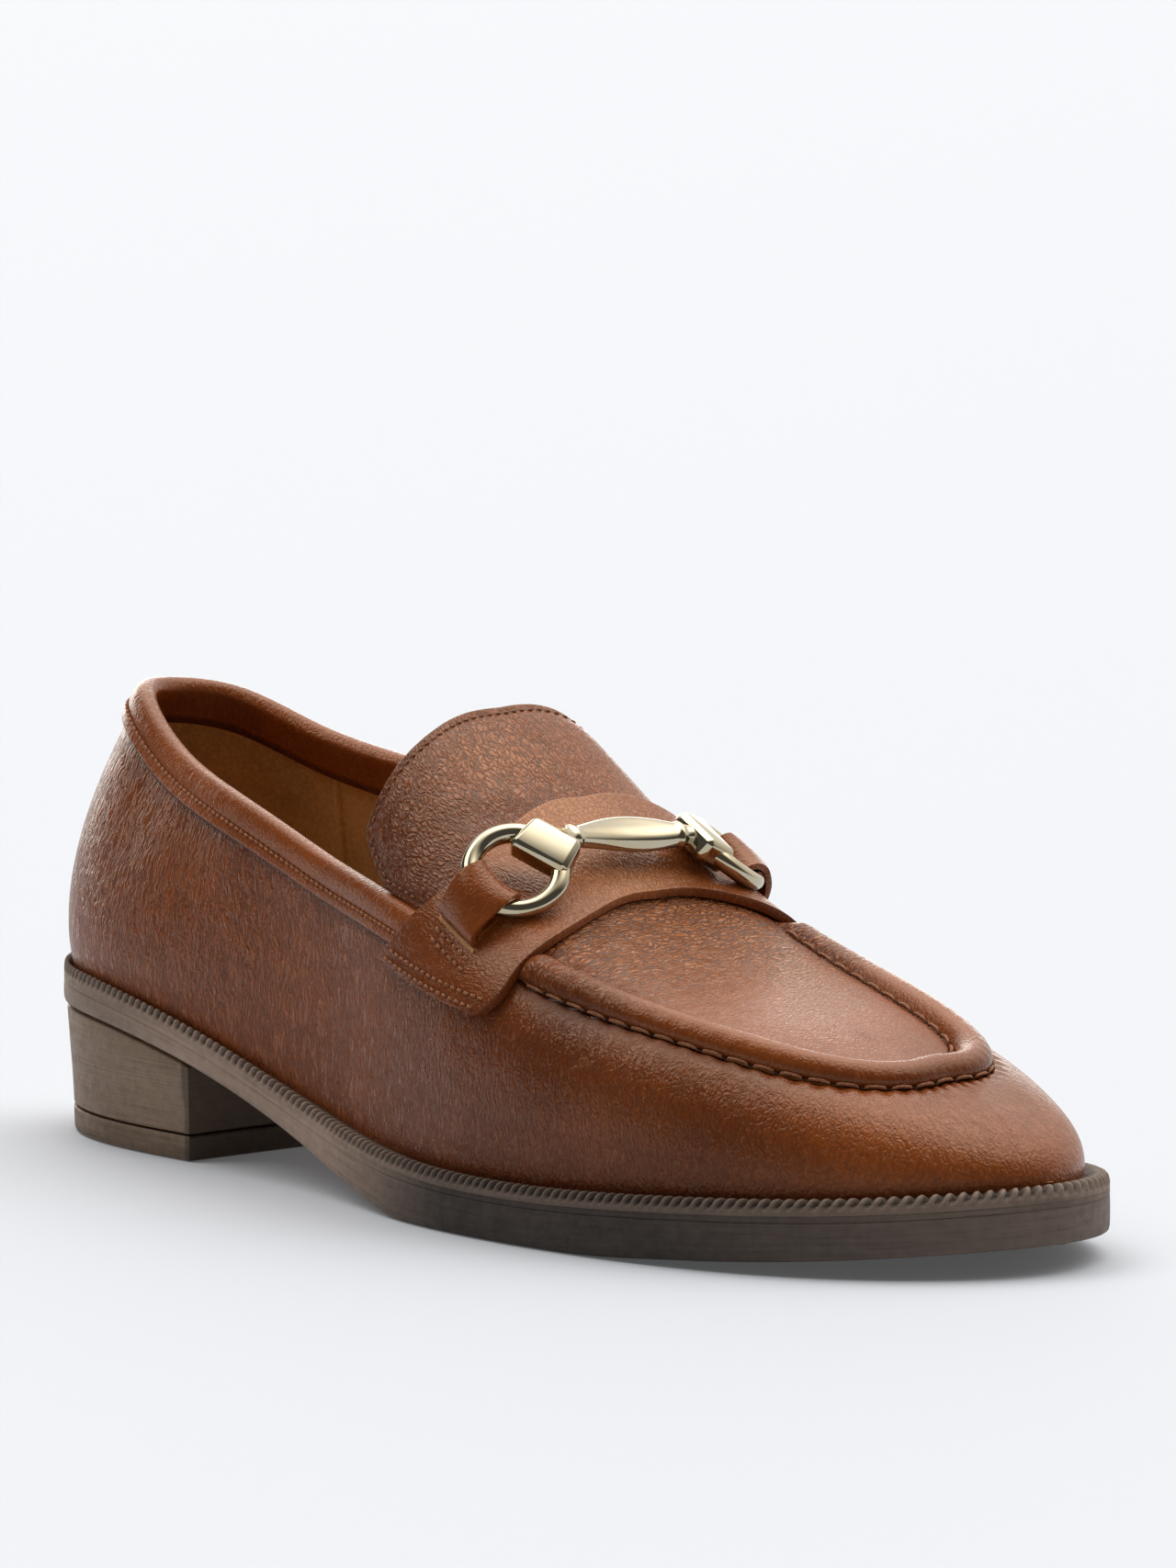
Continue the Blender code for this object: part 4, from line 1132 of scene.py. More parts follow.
class LOAFER_OT_strap(bpy.types.Operator):
    """Cuts the saddle strap with its slots, and folds the tabs that hold the rings"""

    bl_idname = "loafer.strap"
    bl_label = "Saddle strap and tabs"

    def execute(self, context):
        sizes = context.scene.loafer_sizes
        share, reach = np.meshgrid(np.linspace(0, 1, 44), np.linspace(-1, 1, 151), indexing="ij")
        top = sizes.strap_lift + sizes.strap
        girth = np.abs(reach) * STRAP_HALF
        lift = top + 0.00025 * bump_at(share, 0.5, 0.3) * bump_at(girth, 0.0, 0.03)
        lift = lift - 0.00010 * bump_at(share, 0.96, 0.02)
        obj, i, j = new_sheet("saddle_strap_leather", strap_place(reach, share, lift), turned=True)
        paint(obj, "crinkle", (0.32 + 0.16 * bump_at(girth, 0.010, 0.018))[i, j])
        # Painted shade along the strap's front edge and on its ends, which run down the sides of the foot.
        burnish = 0.25 * bump_at(share, 1.0, 0.04) + 0.35 * smooth_step(girth, 0.028, 0.042)
        paint(obj, "burnish", burnish[i, j])
        # Painted sheen on the strap's middle, which lightens it where the bar's shade falls.
        paint(obj, "rubbed", (0.95 * bump_at(reach, -0.14, 0.30))[i, j])
        modify(obj, "SOLIDIFY", thickness=sizes.strap, offset=-1.0, material_offset_rim=1)
        modify(obj, "BEVEL", width=0.00018, segments=2, limit_method="ANGLE", angle_limit=np.radians(50))
        finish_piece(obj, [finish("leather_strap"), finish("raw_edge")], "tan_leather", "saddle_strap")
        for bit in BITS:
            self.slot(bit, sizes)
            self.tab(bit, sizes)
        return {"FINISHED"}

    def slot(self, bit, sizes):
        """The raw lip of the slot, below the tab."""
        along = np.linspace(-SLOT_HALF, SLOT_HALF, 25)
        off = np.array([0.0012, 0.0014, 0.0019, 0.0022])
        lift = sizes.strap_lift + sizes.strap + np.array([-0.0010, 0.00034, 0.00036, -0.0002])
        grid = over_foot(
            STRAP_U + bit.slot_along + along[:, None],
            bit.side * (bit.slot_girth + off[None, :]),
            lift[None, :],
        )
        obj, *_ = new_sheet("slot_lip_" + bit.name, grid if bit.side > 0 else grid[:, ::-1])
        modify(obj, "SOLIDIFY", thickness=0.0002, offset=-1.0)
        finish_piece(obj, [finish("pale_cut")], "tan_leather")

    def tab(self, bit, sizes):
        ring, along, over, up = ring_place(bit, sizes)
        slot, _, inward, slot_up = strap_frame(bit.slot_along, bit.side * bit.slot_girth, sizes)
        top = sizes.strap_lift + sizes.strap
        slot_over = -bit.side * inward
        pull = ring - over * sizes.ring_radius - slot
        pull -= along * pull.dot(along)
        pull /= np.linalg.norm(pull)
        lift = np.cross(along, pull) * -bit.side
        gap, sunk = 0.00015, 0.0012
        columns = []
        for edge in np.linspace(-0.5, 0.5, 25) * sizes.tab_width:
            foot = over_foot(STRAP_U + bit.slot_along + edge, bit.side * bit.slot_girth, top)
            drop = np.sqrt(sizes.ring_radius**2 - edge**2)
            rim = np.sqrt((sizes.ring_radius - sizes.wire_radius) ** 2 - edge**2)
            straight = np.sqrt((sizes.ring_radius - sizes.wire_radius) ** 2 - 0.25 * sizes.tab_width**2)
            wire = ring + along * edge - over * drop
            broad = drop - (0.35 * rim + 0.65 * straight) + 0.0002
            slim = sizes.wire_radius + 0.0002
            path = [foot + slot_over * gap - slot_up * sunk, foot + slot_over * gap + slot_up * 0.0014]
            for turn in np.radians(np.linspace(-90, 90, 9)):
                facing = pull * np.cos(turn) + lift * np.sin(turn)
                path.append(wire + over * broad * facing.dot(over) + up * slim * facing.dot(up))
            middle = 0.5 * (path[-1] + foot + slot_up * 0.0018) + lift * 0.0003
            end = foot - slot_over * gap
            path = np.array([*path, middle, end + slot_up * 0.0015, end - slot_up * sunk])
            run = np.concatenate([[0], np.cumsum(np.linalg.norm(np.diff(path, axis=0), axis=1))])
            even = np.linspace(0, run[-1], 72)
            path = np.column_stack([np.interp(even, run, path[:, c]) for c in range(3)])
            for _ in range(8):
                path[1:-1] = 0.25 * path[:-2] + 0.5 * path[1:-1] + 0.25 * path[2:]
            columns.append(path)
        grid = np.array(columns)
        if bit.side < 0:
            grid = grid[::-1]
        obj, i, j = new_sheet("ring_tab_leather_" + bit.name, grid)
        ends = bump_at(np.linspace(0, 1, 72), 0.55, 0.10)
        paint(obj, "crinkle", np.full(len(i), 0.25))
        # Painted shade on the tab, with less of it round the fold over the ring's wire, which catches the
        # light.
        paint(obj, "burnish", (0.22 - 0.2 * ends)[j])
        modify(obj, "SOLIDIFY", thickness=sizes.tab_wall, offset=1.0, material_offset_rim=1)
        modify(obj, "BEVEL", width=0.0003, segments=2, limit_method="ANGLE", angle_limit=np.radians(50))
        turn_out(obj)
        finish_piece(obj, [finish("leather_tab"), finish("raw_edge")], "tan_leather", "ring_tab_" + bit.name)


class LOAFER_OT_bit(bpy.types.Operator):
    """Turns the rings and forges the bar with its end blocks"""

    bl_idname = "loafer.bit"
    bl_label = "Bit"

    def execute(self, context):
        sizes = context.scene.loafer_sizes
        ends = [ring_place(bit, sizes) for bit in BITS]
        for bit, (centre, _, over, up) in zip(BITS, ends):
            deselect()
            bpy.ops.mesh.primitive_torus_add(
                major_segments=96,
                minor_segments=32,
                major_radius=sizes.ring_radius,
                minor_radius=sizes.wire_radius,
            )
            ring = bpy.context.object
            ring.name = ring.data.name = "bit_ring_polished_" + bit.name
            bpy.ops.object.mode_set(mode="EDIT")
            edit = bmesh.from_edit_mesh(ring.data)
            for vert in edit.verts:
                way = Vector((vert.co.x, vert.co.y, 0.0)).normalized()
                core = way * sizes.ring_radius
                wire = 1.0 + 0.05 * way.x
                flat = 0.94 if vert.co.z < 0 else 1.0
                side = (vert.co - core) * wire
                vert.co = core + Vector((side.x, side.y, side.z * flat))
            bmesh.update_edit_mesh(ring.data)
            bpy.ops.object.mode_set(mode="OBJECT")
            apply_place(ring, axes_matrix(centre, (over, np.cross(up, over), up)))
            finish_piece(ring, [finish("bit_plate")], "bit_metal", "bit_ring_" + bit.name)
        bar = self.bar(ends, sizes)
        for bit, end in zip(BITS, ends):
            block = self.block(bit, end, sizes)
            modify(bar, "BOOLEAN", operation="UNION", solver="EXACT", object=block)
            bpy.data.objects.remove(block)
        finish_piece(bar, [finish("bit_plate")], "bit_metal", "bit_bar", angle=28.0)
        return {"FINISHED"}

    def block(self, bit, end, sizes):
        """The cuff that closes round a ring's wire: a bevelled wedge that narrows to the bar."""
        centre, _, over, up = end
        deselect()
        bpy.ops.mesh.primitive_cube_add(size=1.0)
        block = bpy.context.object
        block.name = "block_" + bit.name
        bpy.ops.object.mode_set(mode="EDIT")
        edit = bmesh.from_edit_mesh(block.data)
        for vert in edit.verts:
            narrow, thin = (0.84, 0.86) if vert.co.y > 0 else (1.0, 1.0)
            vert.co.x *= 0.0122 * narrow
            vert.co.z *= 0.0056 * thin
            vert.co.y *= 0.0080
        bmesh.update_edit_mesh(block.data)
        bpy.ops.mesh.select_all(action="SELECT")
        bpy.ops.mesh.bevel(offset=0.0010, segments=1, affect="EDGES")
        bpy.ops.mesh.bevel(offset=0.00022, segments=3, affect="EDGES")
        bpy.ops.object.mode_set(mode="OBJECT")
        turn = np.radians(bit.turn)
        across = np.cross(over, up)
        axes = (across * np.cos(turn) + over * np.sin(turn), over * np.cos(turn) - across * np.sin(turn), up)
        apply_place(block, axes_matrix(centre + over * (sizes.ring_radius - 0.0004), axes))
        return block

    def bar(self, ends, sizes):
        """A bar that swells in its middle, with soft flats and a knob near each end."""
        start, stop = (centre + over * (sizes.ring_radius + 0.0030) for centre, _, over, _ in ends)
        middle, toeward, _, up = strap_frame(-0.0024, -0.0030, sizes)
        path = spline([0.0, 0.5, 1.0], [start, middle + up * 0.0044, stop])
        steps, sides = 121, 48
        grid = np.zeros((steps, sides + 1, 3))
        turn = np.linspace(0, 2 * np.pi, sides + 1)
        for k, t in enumerate(np.linspace(0, 1, steps)):
            run = path(t + 0.01) - path(t - 0.01)
            up = np.cross(toeward, run)
            up /= np.linalg.norm(up)
            along = np.cross(run, up)
            along /= np.linalg.norm(along)
            swell = np.sin(np.pi * t**1.25) ** 1.3
            knob = bump_at(t, 0.085, 0.022) + bump_at(t, 0.915, 0.022)
            wide = 0.0018 + 0.0024 * swell + 0.0005 * knob
            thick = 0.0017 + 0.0004 * swell + 0.0004 * knob
            size = 1.05 - 0.07 * swell * (1 + np.cos(4 * turn - 1.2))
            side, rise = wide * np.cos(turn) * size, thick * np.sin(turn) * size
            grid[k] = path(t) + along * side[:, None] + up * rise[:, None]
        obj, *_ = new_sheet("bit_bar_polished", grid)
        close_ends(obj)
        return obj


# The sole


def under_at(x):
    """Height of the sole's underside at x."""
    u = np.linspace(0, TOE, 600)
    return np.interp(x, table(u)[:, 0], sole_under(u))


class LOAFER_OT_sole(bpy.types.Operator):
    """Builds the outsole with its grooved edge, the ribbed welt and the sock"""

    bl_idname = "loafer.sole"
    bl_label = "Sole, welt and sock"

    def execute(self, context):
        sizes = context.scene.loafer_sizes
        self.outsole()
        self.welt(sizes)
        self.sock()
        return {"FINISHED"}

    def caps(self, u, ring, shares):
        """Rows from a ring to the middle line between like points of the two sides."""
        mate = feather_ring(ROUND - u, table(ROUND - u)[:, REACH], 0.0)
        middle = 0.5 * (ring + mate)
        rows = []
        for share in shares:
            row = ring + (middle - ring) * share
            row[:, 2] = ring[:, 2]
            rows.append(row)
        return rows

    def wear_and_painted_light(self, u):
        """The sole's edge is paler round the heel, the waist and the toe: partly wear, partly painted light on
        the waist, which lies in shade.
        """
        side = np.minimum(u, ROUND - u)
        heel = smooth_step(side, AT["instep"] + 0.016, AT["waist"] + 0.004)
        toe = smooth_step(side, AT["vamp"] - 0.010, AT["toe_tip"])
        back = smooth_step(side, AT["breast"], AT["heel_side"])
        return np.clip(heel - 0.40 * back + 0.28 * toe, 0, 1)

    def outsole(self):
        u = np.linspace(0, ROUND, 721)
        reach = table(u)[:, REACH]
        under = sole_under(u)
        top = table(u)[:, FEATHER] - 0.0003
        rows = []
        foot = feather_ring(u, reach - 0.0012, under)
        rows += self.caps(u, foot, (1.0, 0.8, 0.6, 0.4, 0.2, 0.06))
        side = [(0.0012, 0.00), (0.0006, 0.00010), (0.0002, 0.0004), (0.0, 0.0010)]
        rows += [feather_ring(u, reach - inset, under + rise) for inset, rise in side]
        tall = top - under
        for share in (0.3, 0.5, 0.65):
            rows.append(feather_ring(u, reach + 0.00005, under + tall * share))
        groove = [(0.0, 0.0016), (0.0, 0.00135), (0.00016, 0.0012), (0.00016, 0.0011)]
        groove += [(0.0, 0.00095), (0.0, 0.0002)]
        rows += [feather_ring(u, reach - inset, top - drop) for inset, drop in groove]
        rows += [feather_ring(u, reach - 0.0001, top + 0.0001)]
        rows += self.caps(u, rows[-1], (0.1, 0.4, 0.7, 1.0))
        obj, i, _ = new_sheet("outsole_edge", np.stack(rows, axis=1))
        paint(obj, "pale", self.wear_and_painted_light(u)[i])
        weld(obj, 1e-5)
        turn_out(obj)
        finish_piece(obj, [finish("sole_moulded")], "sole_edge", "outsole")

    def welt(self, sizes):
        ribs = int(round(ROUND / sizes.rib_pitch))
        u = np.linspace(0, ROUND, ribs * 10 + 1)
        rows = table(u)
        base = rows[:, FEATHER] - 0.0001
        reach = rows[:, REACH]
        thick = 0.0027
        turn = 2 * np.pi * ribs * u / ROUND
        seat = np.clip(thick / 0.030, 0.02, 0.1)
        wall = lifted(u, np.full(len(u), seat), np.full(len(u), -0.0002))
        profile = []
        # inset from the edge as a share of the welt's width, height as a share, rib strength, slant
        section = [
            (0.0, -0.06, 0.0, 0.0),
            (0.0, 0.26, 0.0, 0.0),
            (0.0, 0.38, 0.5, 0.0),
            (0.02, 0.56, 1.0, 0.4),
            (0.05, 0.74, 1.0, 0.9),
            (0.13, 0.90, 1.0, 1.5),
            (0.26, 1.00, 1.0, 2.1),
            (0.44, 1.00, 0.9, 2.7),
            (0.66, 0.88, 0.6, 3.3),
            (1.0, 0.70, 0.1, 3.8),
        ]
        edge = feather_ring(u, reach, base)
        inner = np.column_stack([wall[:, :2], base])
        out = outline_normal(u)
        gap_shades = []
        for inset, high, strength, slant in section:
            wave = 0.5 + 0.5 * np.cos(turn - slant)
            notch = strength * (1 - wave) ** 1.6
            row = edge + (inner - edge) * inset
            row[:, 2] = base + thick * high - 0.0010 * notch * (high > 0.6)
            row[:, :2] -= out * (0.0012 * notch * (1 - inset))[:, None]
            profile.append(row)
            # Painted shade in the gaps between the ribs and on the welt's inner side by the upper.
            gap_shades.append(np.clip(0.9 * notch + 0.6 * (inset > 0.6), 0, 1))
        low = inner.copy()
        low[:, 2] = base
        profile += [low, edge.copy()]
        profile[-1][:, 2] = base
        obj, i, j = new_sheet("welt_ribs", np.stack(profile, axis=1))
        # The welt is paler all round, and more so where the sole's edge is: partly wear, partly painted light.
        paint(obj, "pale", (0.25 + 0.6 * self.wear_and_painted_light(u))[i])
        gap_shades = np.stack(gap_shades + [np.zeros(len(u))] * 2, axis=1)
        paint(obj, "gap", gap_shades[i, j])
        weld(obj, 1e-6)
        turn_out(obj)
        finish_piece(obj, [finish("sole_moulded")], "sole_edge", "welt", angle=60.0)

    def sock(self):
        u = np.linspace(0, ROUND, 361)
        base = table(u)[:, FEATHER] + 0.0003
        margin = 0.0022
        rows = self.caps(u, feather_ring(u, -margin, base), (1.0, 0.5, 0.1))
        rows += [feather_ring(u, -margin, base), feather_ring(u, -margin, base + 0.0018)]
        rows.append(feather_ring(u, -margin - 0.0005, base + 0.0022))
        rows += self.caps(u, rows[-1], (0.1, 0.3, 0.5, 0.7, 0.85, 1.0))
        obj, *_ = new_sheet("sock", np.stack(rows, axis=1))
        weld(obj, 1e-5)
        turn_out(obj)
        finish_piece(obj, [finish("lining_suede")], "sock_lining", "insole")


BREAST_X = 0.0635
LIFT_THICK = 0.0050


class LOAFER_OT_heel(bpy.types.Operator):
    """Builds the stacked heel block and its top lift"""

    bl_idname = "loafer.heel"
    bl_label = "Heel"

    def execute(self, context):
        block = [
            (0.0022, 0.0, 0.0002),
            (0.0018, 0.0, 0.0006),
            (0.0015, 0.33, 0.0),
            (0.0010, 0.67, 0.0),
            (0.0006, 1.0, -0.0009),
            (0.0007, 1.0, -0.0005),
            (0.0011, 1.0, -0.0003),
        ]
        self.stack("heel_stack_block", block, LIFT_THICK, None, "heel_stack", "stacked_heel", "heel_block")
        lift = [
            (0.0026, 0.0, 0.0),
            (0.0021, 0.0, 0.0002),
            (0.0019, 0.0, 0.0007),
            (0.0018, 0.6, 0.0),
            (0.0018, 1.0, -0.0005),
            (0.0021, 1.0, -0.0002),
        ]
        self.stack("heel_top_lift", lift, 0.0, LIFT_THICK, "heel_rubber", "heel_lift", "top_lift")
        return {"FINISHED"}

    def outline(self, inset):
        """The heel seen from above: the sole's edge round the back, squared off at the breast."""
        reach_u = np.linspace(0, AT["waist"], 400)
        edge = feather_ring(reach_u, table(reach_u)[:, REACH] - inset, 0.0)
        breast = BREAST_X - (inset - 0.0018)
        end = float(np.interp(breast, edge[:, 0], reach_u))
        u = np.concatenate([np.linspace(end, 0, 90), ROUND - np.linspace(0, end, 90)[1:]])
        ring = feather_ring(u, table(u)[:, REACH] - inset, 0.0)
        front = ring[-1] + (ring[0] - ring[-1]) * np.linspace(0, 1, 40)[1:, None]
        return np.concatenate([ring, front])

    def stack(self, name, section, low, high, material, slot, node):
        rows = []
        for inset, share, rise in section:
            ring = self.outline(inset)
            top = under_at(ring[:, 0]) - 0.0003 if high is None else high
            ring[:, 2] = low + (top - low) * share + rise
            rows.append(ring)
        hub = np.array([0.040, 0.0, 0.0])
        foot, head = [], []
        for share in (0.97, 0.7, 0.4, 0.15):
            for ends, ring in ((foot, rows[0]), (head, rows[-1])):
                row = ring + (hub - ring) * (1 - share)
                row[:, 2] = ring[:, 2] if ends is foot or high is not None else under_at(row[:, 0]) - 0.0003
                ends.append(row)
        for ends in (foot, head):
            last = ends[-1].copy()
            last[:] = last.mean(axis=0)
            ends.append(last)
        grid = np.stack(foot[::-1] + rows + head, axis=1)
        obj, i, j = new_sheet(name, grid)
        # Painted shade on the heel's breast, which lies in shade under the arch.
        paint(obj, "gap", 0.7 * (grid[i, j][:, 0] > BREAST_X - 0.0012))
        weld(obj, 1e-6)
        turn_out(obj)
        finish_piece(obj, [finish(material)], slot, node, angle=35.0)


# Thread


def tube_faces(start, rings, sides):
    """The quads and the end caps of a tube whose rings of points follow one another."""
    faces = []
    for r in range(rings - 1):
        low, high = start + r * sides, start + (r + 1) * sides
        for s in range(sides):
            m = (s + 1) % sides
            faces.append((low + s, low + m, high + m, high + s))
    caps = [tuple(start + r * sides + s for s in range(sides)) for r in (0, rings - 1)]
    return [*faces, caps[0][::-1], caps[1]]


def thread_row(points, normals, pitch, share, radius, lift):
    """Stitches along a line: each rises out of the leather and dips back in."""
    step = np.linalg.norm(np.diff(points, axis=0), axis=1)
    run = np.concatenate([[0], np.cumsum(step)])
    count = max(1, int(run[-1] / pitch))
    pitch = run[-1] / count
    rise = np.array([-0.9, 0.25, 0.75, 0.95, 0.75, 0.25, -0.9])
    fat = np.array([0.55, 0.9, 1.0, 1.0, 1.0, 0.9, 0.55])
    spot = np.array([0.0, 0.06, 0.25, 0.5, 0.75, 0.94, 1.0])
    sides = 7
    turn = np.linspace(0, 2 * np.pi, sides, endpoint=False)
    verts, faces, holes = [], [], []
    for k in range(count):
        at = (k + 0.5 * (1 - share) + spot * share) * pitch
        centre = np.column_stack([np.interp(at, run, points[:, c]) for c in range(3)])
        normal = np.column_stack([np.interp(at, run, normals[:, c]) for c in range(3)])
        normal /= np.linalg.norm(normal, axis=1, keepdims=True)
        way = np.gradient(centre, axis=0)
        way /= np.linalg.norm(way, axis=1, keepdims=True)
        across = np.cross(way, normal)
        centre = centre + normal * (lift + rise * radius)[:, None]
        start = len(verts)
        for c, n, a, f in zip(centre, normal, across, fat):
            for s in turn:
                verts.append(c + (n * np.sin(s) + a * np.cos(s)) * radius * f)
        faces += tube_faces(start, len(spot), sides)
        if k < count - 1:
            gap = (k + 1.0) * pitch
            c = np.array([np.interp(gap, run, points[:, q]) for q in range(3)])
            n = np.array([np.interp(gap, run, normals[:, q]) for q in range(3)])
            holes.append((c, n / np.linalg.norm(n), way[-1]))
    return verts, faces, holes


def joined(name, sets):
    """One mesh object from several lists of points and faces."""
    verts, faces = [], []
    for more, quads in sets:
        start = len(verts)
        verts.extend(more)
        faces.extend(tuple(start + k for k in quad) for quad in quads)
    mesh = bpy.data.meshes.new(name)
    mesh.from_pydata([tuple(np.asarray(p) - ORIGIN) for p in verts], [], faces)
    obj = bpy.data.objects.new(name, mesh)
    bpy.context.scene.collection.objects.link(obj)
    turn_out(obj)
    return obj


def hole_set(holes, radius, lift):
    """Small dimples painted dark, where the thread goes into the leather: painted shade in the needle holes."""
    verts, faces = [], []
    sides = 8
    rings = ((-0.5, 1.0), (0.0, 1.0), (0.08, 0.7))
    for centre, normal, way in holes:
        across = np.cross(way, normal)
        faces += tube_faces(len(verts), len(rings), sides)
        for height, size in rings:
            middle = centre + normal * (lift + height * radius)
            for s in np.linspace(0, 2 * np.pi, sides + 1)[:-1]:
                verts.append(middle + (way * np.cos(s) + across * np.sin(s)) * radius * size)
    return verts, faces


class LOAFER_OT_thread(bpy.types.Operator):
    """Sews the apron seam, the collar band, the tongue's edge and the strap's ends"""

    bl_idname = "loafer.thread"
    bl_label = "Stitching"

    def execute(self, context):
        sizes = context.scene.loafer_sizes
        holes = []
        self.seam(sizes, holes)
        self.collar(sizes, holes)
        self.tongue(sizes, holes)
        self.strap(sizes, holes)
        # Dark dots at the needle holes: painted shade.
        dimples = joined("needle_holes", [hole_set(*row) for row in holes])
        finish_piece(dimples, [finish("needle_hole")], "tan_leather")
        return {"FINISHED"}

    def sew(self, name, rows, holes, pitch, share, radius, lift, hole, thread="thread"):
        sets = []
        for points, normals in rows:
            verts, faces, dots = thread_row(points, normals, pitch, share, radius, lift)
            sets.append((verts, faces))
            holes.append((dots, hole, lift))
        finish_piece(joined(name, sets), [finish(thread)], "tan_leather", angle=70.0)

    def row_on_last(self, u, v, lift):
        return lifted(u, v, np.broadcast_to(lift, np.shape(u))), last_normal(u, v)

    def seam(self, sizes, holes):
        u = np.linspace(STRAP_FRONT_U + 0.002, ROUND - STRAP_FRONT_U - 0.002, 700)
        line = line_girth(u)
        outer = self.row_on_last(u, v_at_girth(u, line + 0.0006), -0.00005)
        inner = self.row_on_last(u, v_at_girth(u, line - APRON_STITCH), 0.0)
        self.sew("seam_thread", [outer], holes, sizes.seam_pitch, 0.84, 0.00034, 0.0, 0.00040)
        self.sew("apron_thread", [inner], holes, sizes.seam_pitch, 0.76, 0.00034, 0.00005, 0.00038)

    def collar(self, sizes, holes):
        ends = [float(band_end(np.array(COLLAR_STITCH), place)) for place in SIDES]
        outer = np.linspace(ends[0], 0, 260)
        inner = ROUND - np.linspace(0, ends[1], 260)[1:]
        u = np.concatenate([outer, inner - ROUND])
        v = v_at_girth(u, line_girth(u) + COLLAR_STITCH)
        row = self.row_on_last(u, v, 0.00142)
        self.sew("collar_thread", [row], holes, sizes.fine_pitch, 0.70, 0.00027, 0.0, 0.00018, "pale_thread")

    def tongue(self, sizes, holes):
        low, bend = 0.40, 0.05
        side = 1 - TONGUE_STITCH / TONGUE_HALF
        top = 1 - TONGUE_STITCH / TONGUE_TALL
        climb = np.linspace(low, top - bend, 80)
        rise = np.concatenate([climb, np.full(240, top), np.linspace(top - bend, low, 80)])
        over = np.linspace(-side + 0.03, side - 0.03, 240)
        share = np.concatenate([np.full(80, -side), over, np.full(80, side)])
        points = tongue_place(rise, share, np.full(len(rise), -0.00002))
        above = tongue_place(rise, share, np.full(len(rise), 0.001))
        row, pitch = (points, above - points), sizes.fine_pitch * 1.15
        self.sew("tongue_thread", [row], holes, pitch, 0.60, 0.00022, -0.00008, 0.00020)

    def strap(self, sizes, holes):
        top = sizes.strap_lift + sizes.strap
        rows = []
        for side in (-1, 1):
            for inset in (0.0015, 0.0038):
                share = np.linspace(0.055, 0.945, 60)
                length = STRAP_END_BACK + (STRAP_END_FRONT - STRAP_END_BACK) * share
                reach = side * (1 - inset / length)
                points = strap_place(reach, share, np.full(60, top))
                rows.append((points, strap_place(reach, share, np.full(60, top + 0.001)) - points))
        for bit in BITS:
            for drop in (0.0033, 0.0053):
                along = STRAP_U + bit.slot_along + np.linspace(-SLOT_HALF, SLOT_HALF, 40)
                girth = np.full(40, bit.side * (bit.slot_girth + drop))
                points = over_foot(along, girth, np.full(40, top))
                rows.append((points, over_foot(along, girth, np.full(40, top + 0.001)) - points))
        pitch = sizes.fine_pitch
        self.sew("strap_thread", rows, holes, pitch, 0.62, 0.00028, 0.00004, 0.00026, "pale_thread")


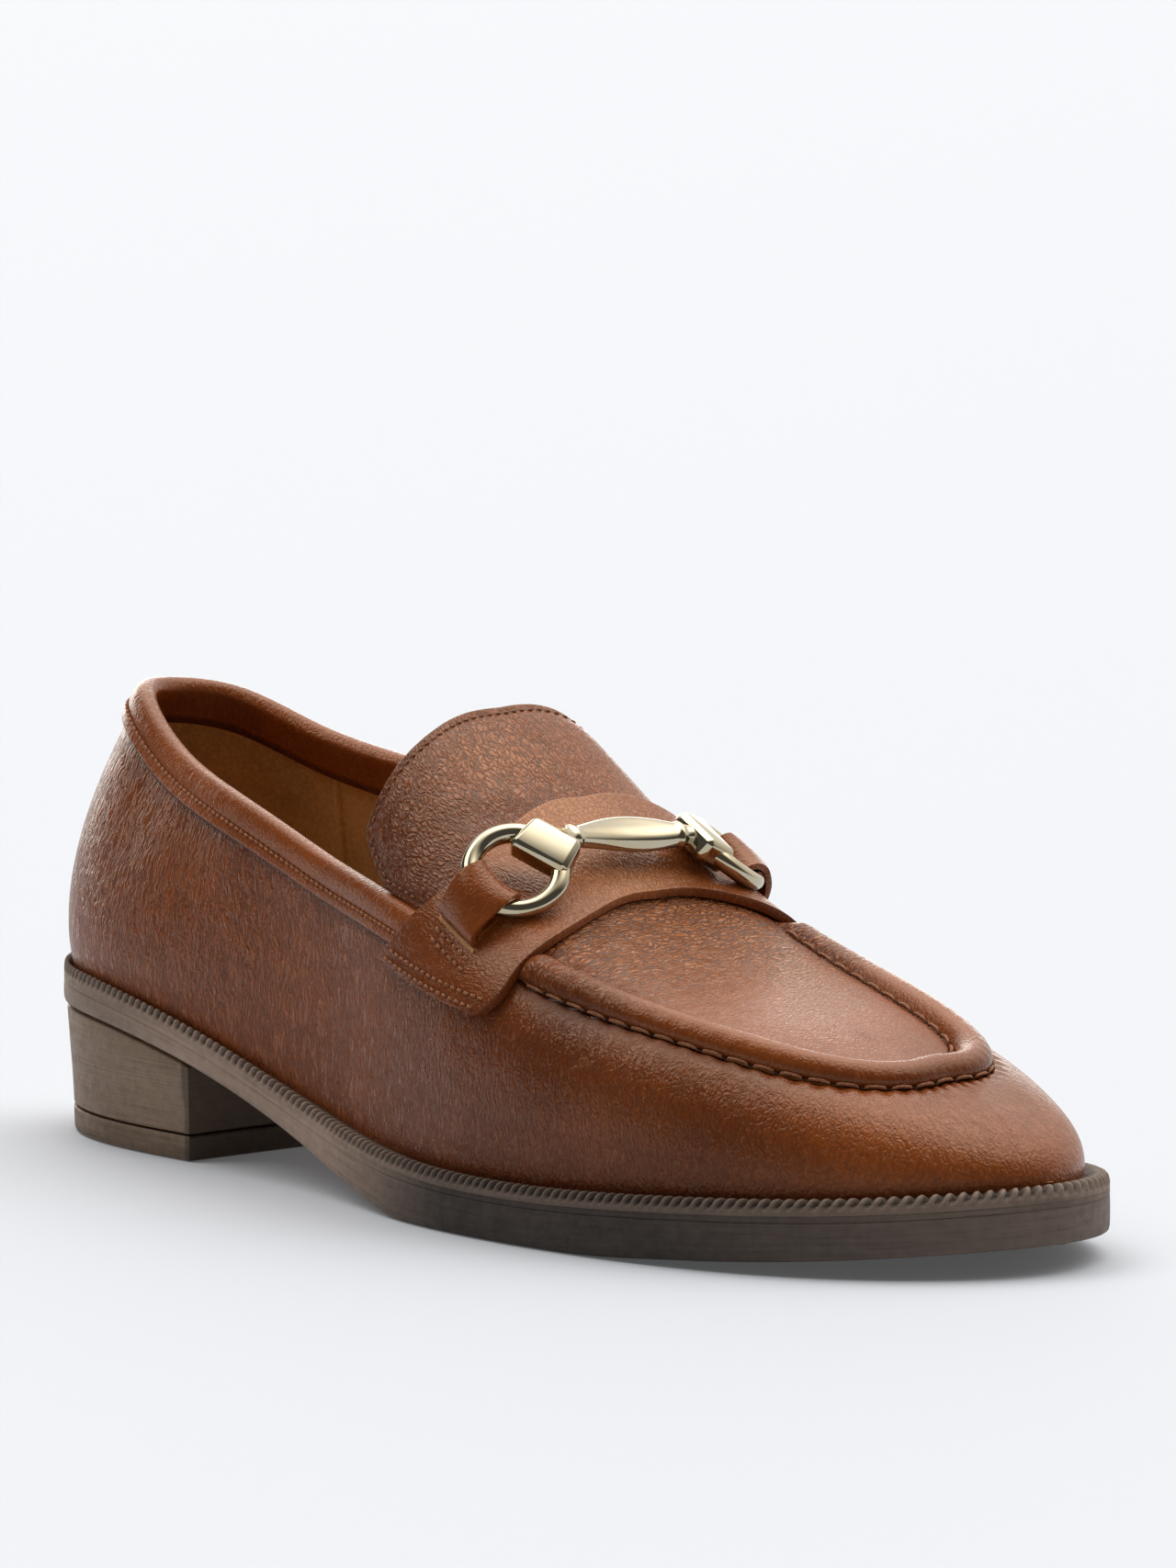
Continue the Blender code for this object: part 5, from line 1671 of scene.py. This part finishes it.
class LOAFER_OT_stage(bpy.types.Operator):
    """Sets the floor, the soft light and the camera"""

    bl_idname = "loafer.stage"
    bl_label = "Floor, light and camera"

    def execute(self, context):
        self.floor(context.scene.loafer_colours)
        self.light(context.scene)
        self.camera(context.scene)
        return {"FINISHED"}

    def floor(self, colours):
        deselect()
        bpy.ops.mesh.primitive_plane_add(size=40.0, location=(0, 0, -0.0001))
        floor = bpy.context.object
        floor.name = floor.data.name = "floor"
        material, tree, shader = new_material("pale_floor")
        place = add(tree, "TexCoord").outputs["Object"]
        paper = noise(tree, place, 300.0)
        tone = blend_colour(tree, paper, shaded(colours.floor, 0.985), shaded(colours.floor))
        tree.links.new(tone, shader.inputs["Base Color"])
        shader.inputs["Roughness"].default_value = 0.9
        shader.inputs["Emission Color"].default_value = (0.97, 0.985, 1.0, 1)
        shader.inputs["Emission Strength"].default_value = 0.07
        shader.inputs["Specular IOR Level"].default_value = 0.1
        floor.data.materials.append(material)

    def light(self, scene):
        # A broad soft light behind and overhead, a small one at the back left, and a faint fill.
        world = bpy.data.worlds.new("studio")
        scene.world = world
        world.use_nodes = True
        tree = world.node_tree
        back = tree.nodes["Background"]
        way = add(tree, "TexCoord").outputs["Generated"]
        height = add(tree, "SeparateXYZ", {0: way}).outputs["Z"]
        shades = []
        for aim, low, high in (((-0.16, 0.76, 0.78), 0.42, 0.85), ((-0.87, 0.46, 0.02), 0.86, 0.98)):
            aim = Vector(aim).normalized()
            facing = add(tree, "VectorMath", {0: way, 1: aim}, operation="DOT_PRODUCT").outputs["Value"]
            shades.append(remap(tree, facing, low, high))
        shade = maths(tree, "MULTIPLY", shades[0], remap(tree, height, 0.45, 0.97, 0.42, 1.65))
        shade = maths(tree, "ADD", shade, maths(tree, "MULTIPLY", shades[1], 1.70))
        colour = add(tree, "VectorMath", {0: (1.0, 0.955, 0.885), 3: shade}, operation="SCALE").outputs[0]
        colour = vectors(tree, "ADD", colour, (0.040, 0.039, 0.038))
        tree.links.new(colour, back.inputs["Color"])
        back.inputs["Strength"].default_value = 2.30
        lamp = bpy.data.lights.new("key_light", "SUN")
        lamp.energy = 1.05
        lamp.color = (1.0, 0.96, 0.89)
        lamp.angle = np.radians(38.0)
        key = bpy.data.objects.new("key_light", lamp)
        key.rotation_euler = Vector((-0.50, -0.45, 1.0)).to_track_quat("Z", "Y").to_euler()
        scene.collection.objects.link(key)
        scene.view_settings.view_transform = "Standard"

    def camera(self, scene):
        data = bpy.data.cameras.new("camera")
        data.lens = 194.87
        data.sensor_width = 36.0
        camera = bpy.data.objects.new("camera", data)
        scene.collection.objects.link(camera)
        turn, tilt = np.radians(48.5), np.radians(6.3)
        back = np.array([np.sin(turn) * np.cos(tilt), -np.cos(turn) * np.cos(tilt), np.sin(tilt)])
        target, distance = np.array([0.1435, 0.0, 0.0765]) - ORIGIN, 1.56
        camera.location = Vector(target + back * distance)
        camera.rotation_euler = Vector(-back).to_track_quat("-Z", "Y").to_euler()
        data.clip_start, data.clip_end = 0.05, 100.0
        scene.camera = camera


class LOAFER_PT_panel(bpy.types.Panel):
    """Lists the loafer's steps"""

    bl_idname = "LOAFER_PT_panel"
    bl_label = "Loafer"
    bl_space_type = "VIEW_3D"
    bl_region_type = "UI"
    bl_category = "Loafer"

    def draw(self, context):
        for step in STEPS:
            self.layout.operator(step.bl_idname)
        for group in (context.scene.loafer_sizes, context.scene.loafer_colours):
            for name in group.__annotations__:
                self.layout.prop(group, name)


STEPS = (
    LOAFER_OT_upper,
    LOAFER_OT_collar,
    LOAFER_OT_tongue,
    LOAFER_OT_strap,
    LOAFER_OT_bit,
    LOAFER_OT_sole,
    LOAFER_OT_heel,
    LOAFER_OT_thread,
    LOAFER_OT_stage,
)
CLASSES = (LoaferSizes, LoaferColours, *STEPS, LOAFER_PT_panel)


def register():
    for item in CLASSES:
        bpy.utils.register_class(item)
    bpy.types.Scene.loafer_sizes = bpy.props.PointerProperty(type=LoaferSizes)
    bpy.types.Scene.loafer_colours = bpy.props.PointerProperty(type=LoaferColours)


def unregister():
    del bpy.types.Scene.loafer_colours
    del bpy.types.Scene.loafer_sizes
    for item in reversed(CLASSES):
        bpy.utils.unregister_class(item)


def main():
    register()
    for step in STEPS:
        getattr(bpy.ops.loafer, step.bl_idname.split(".")[1])()


if __name__ == "__main__":
    main()
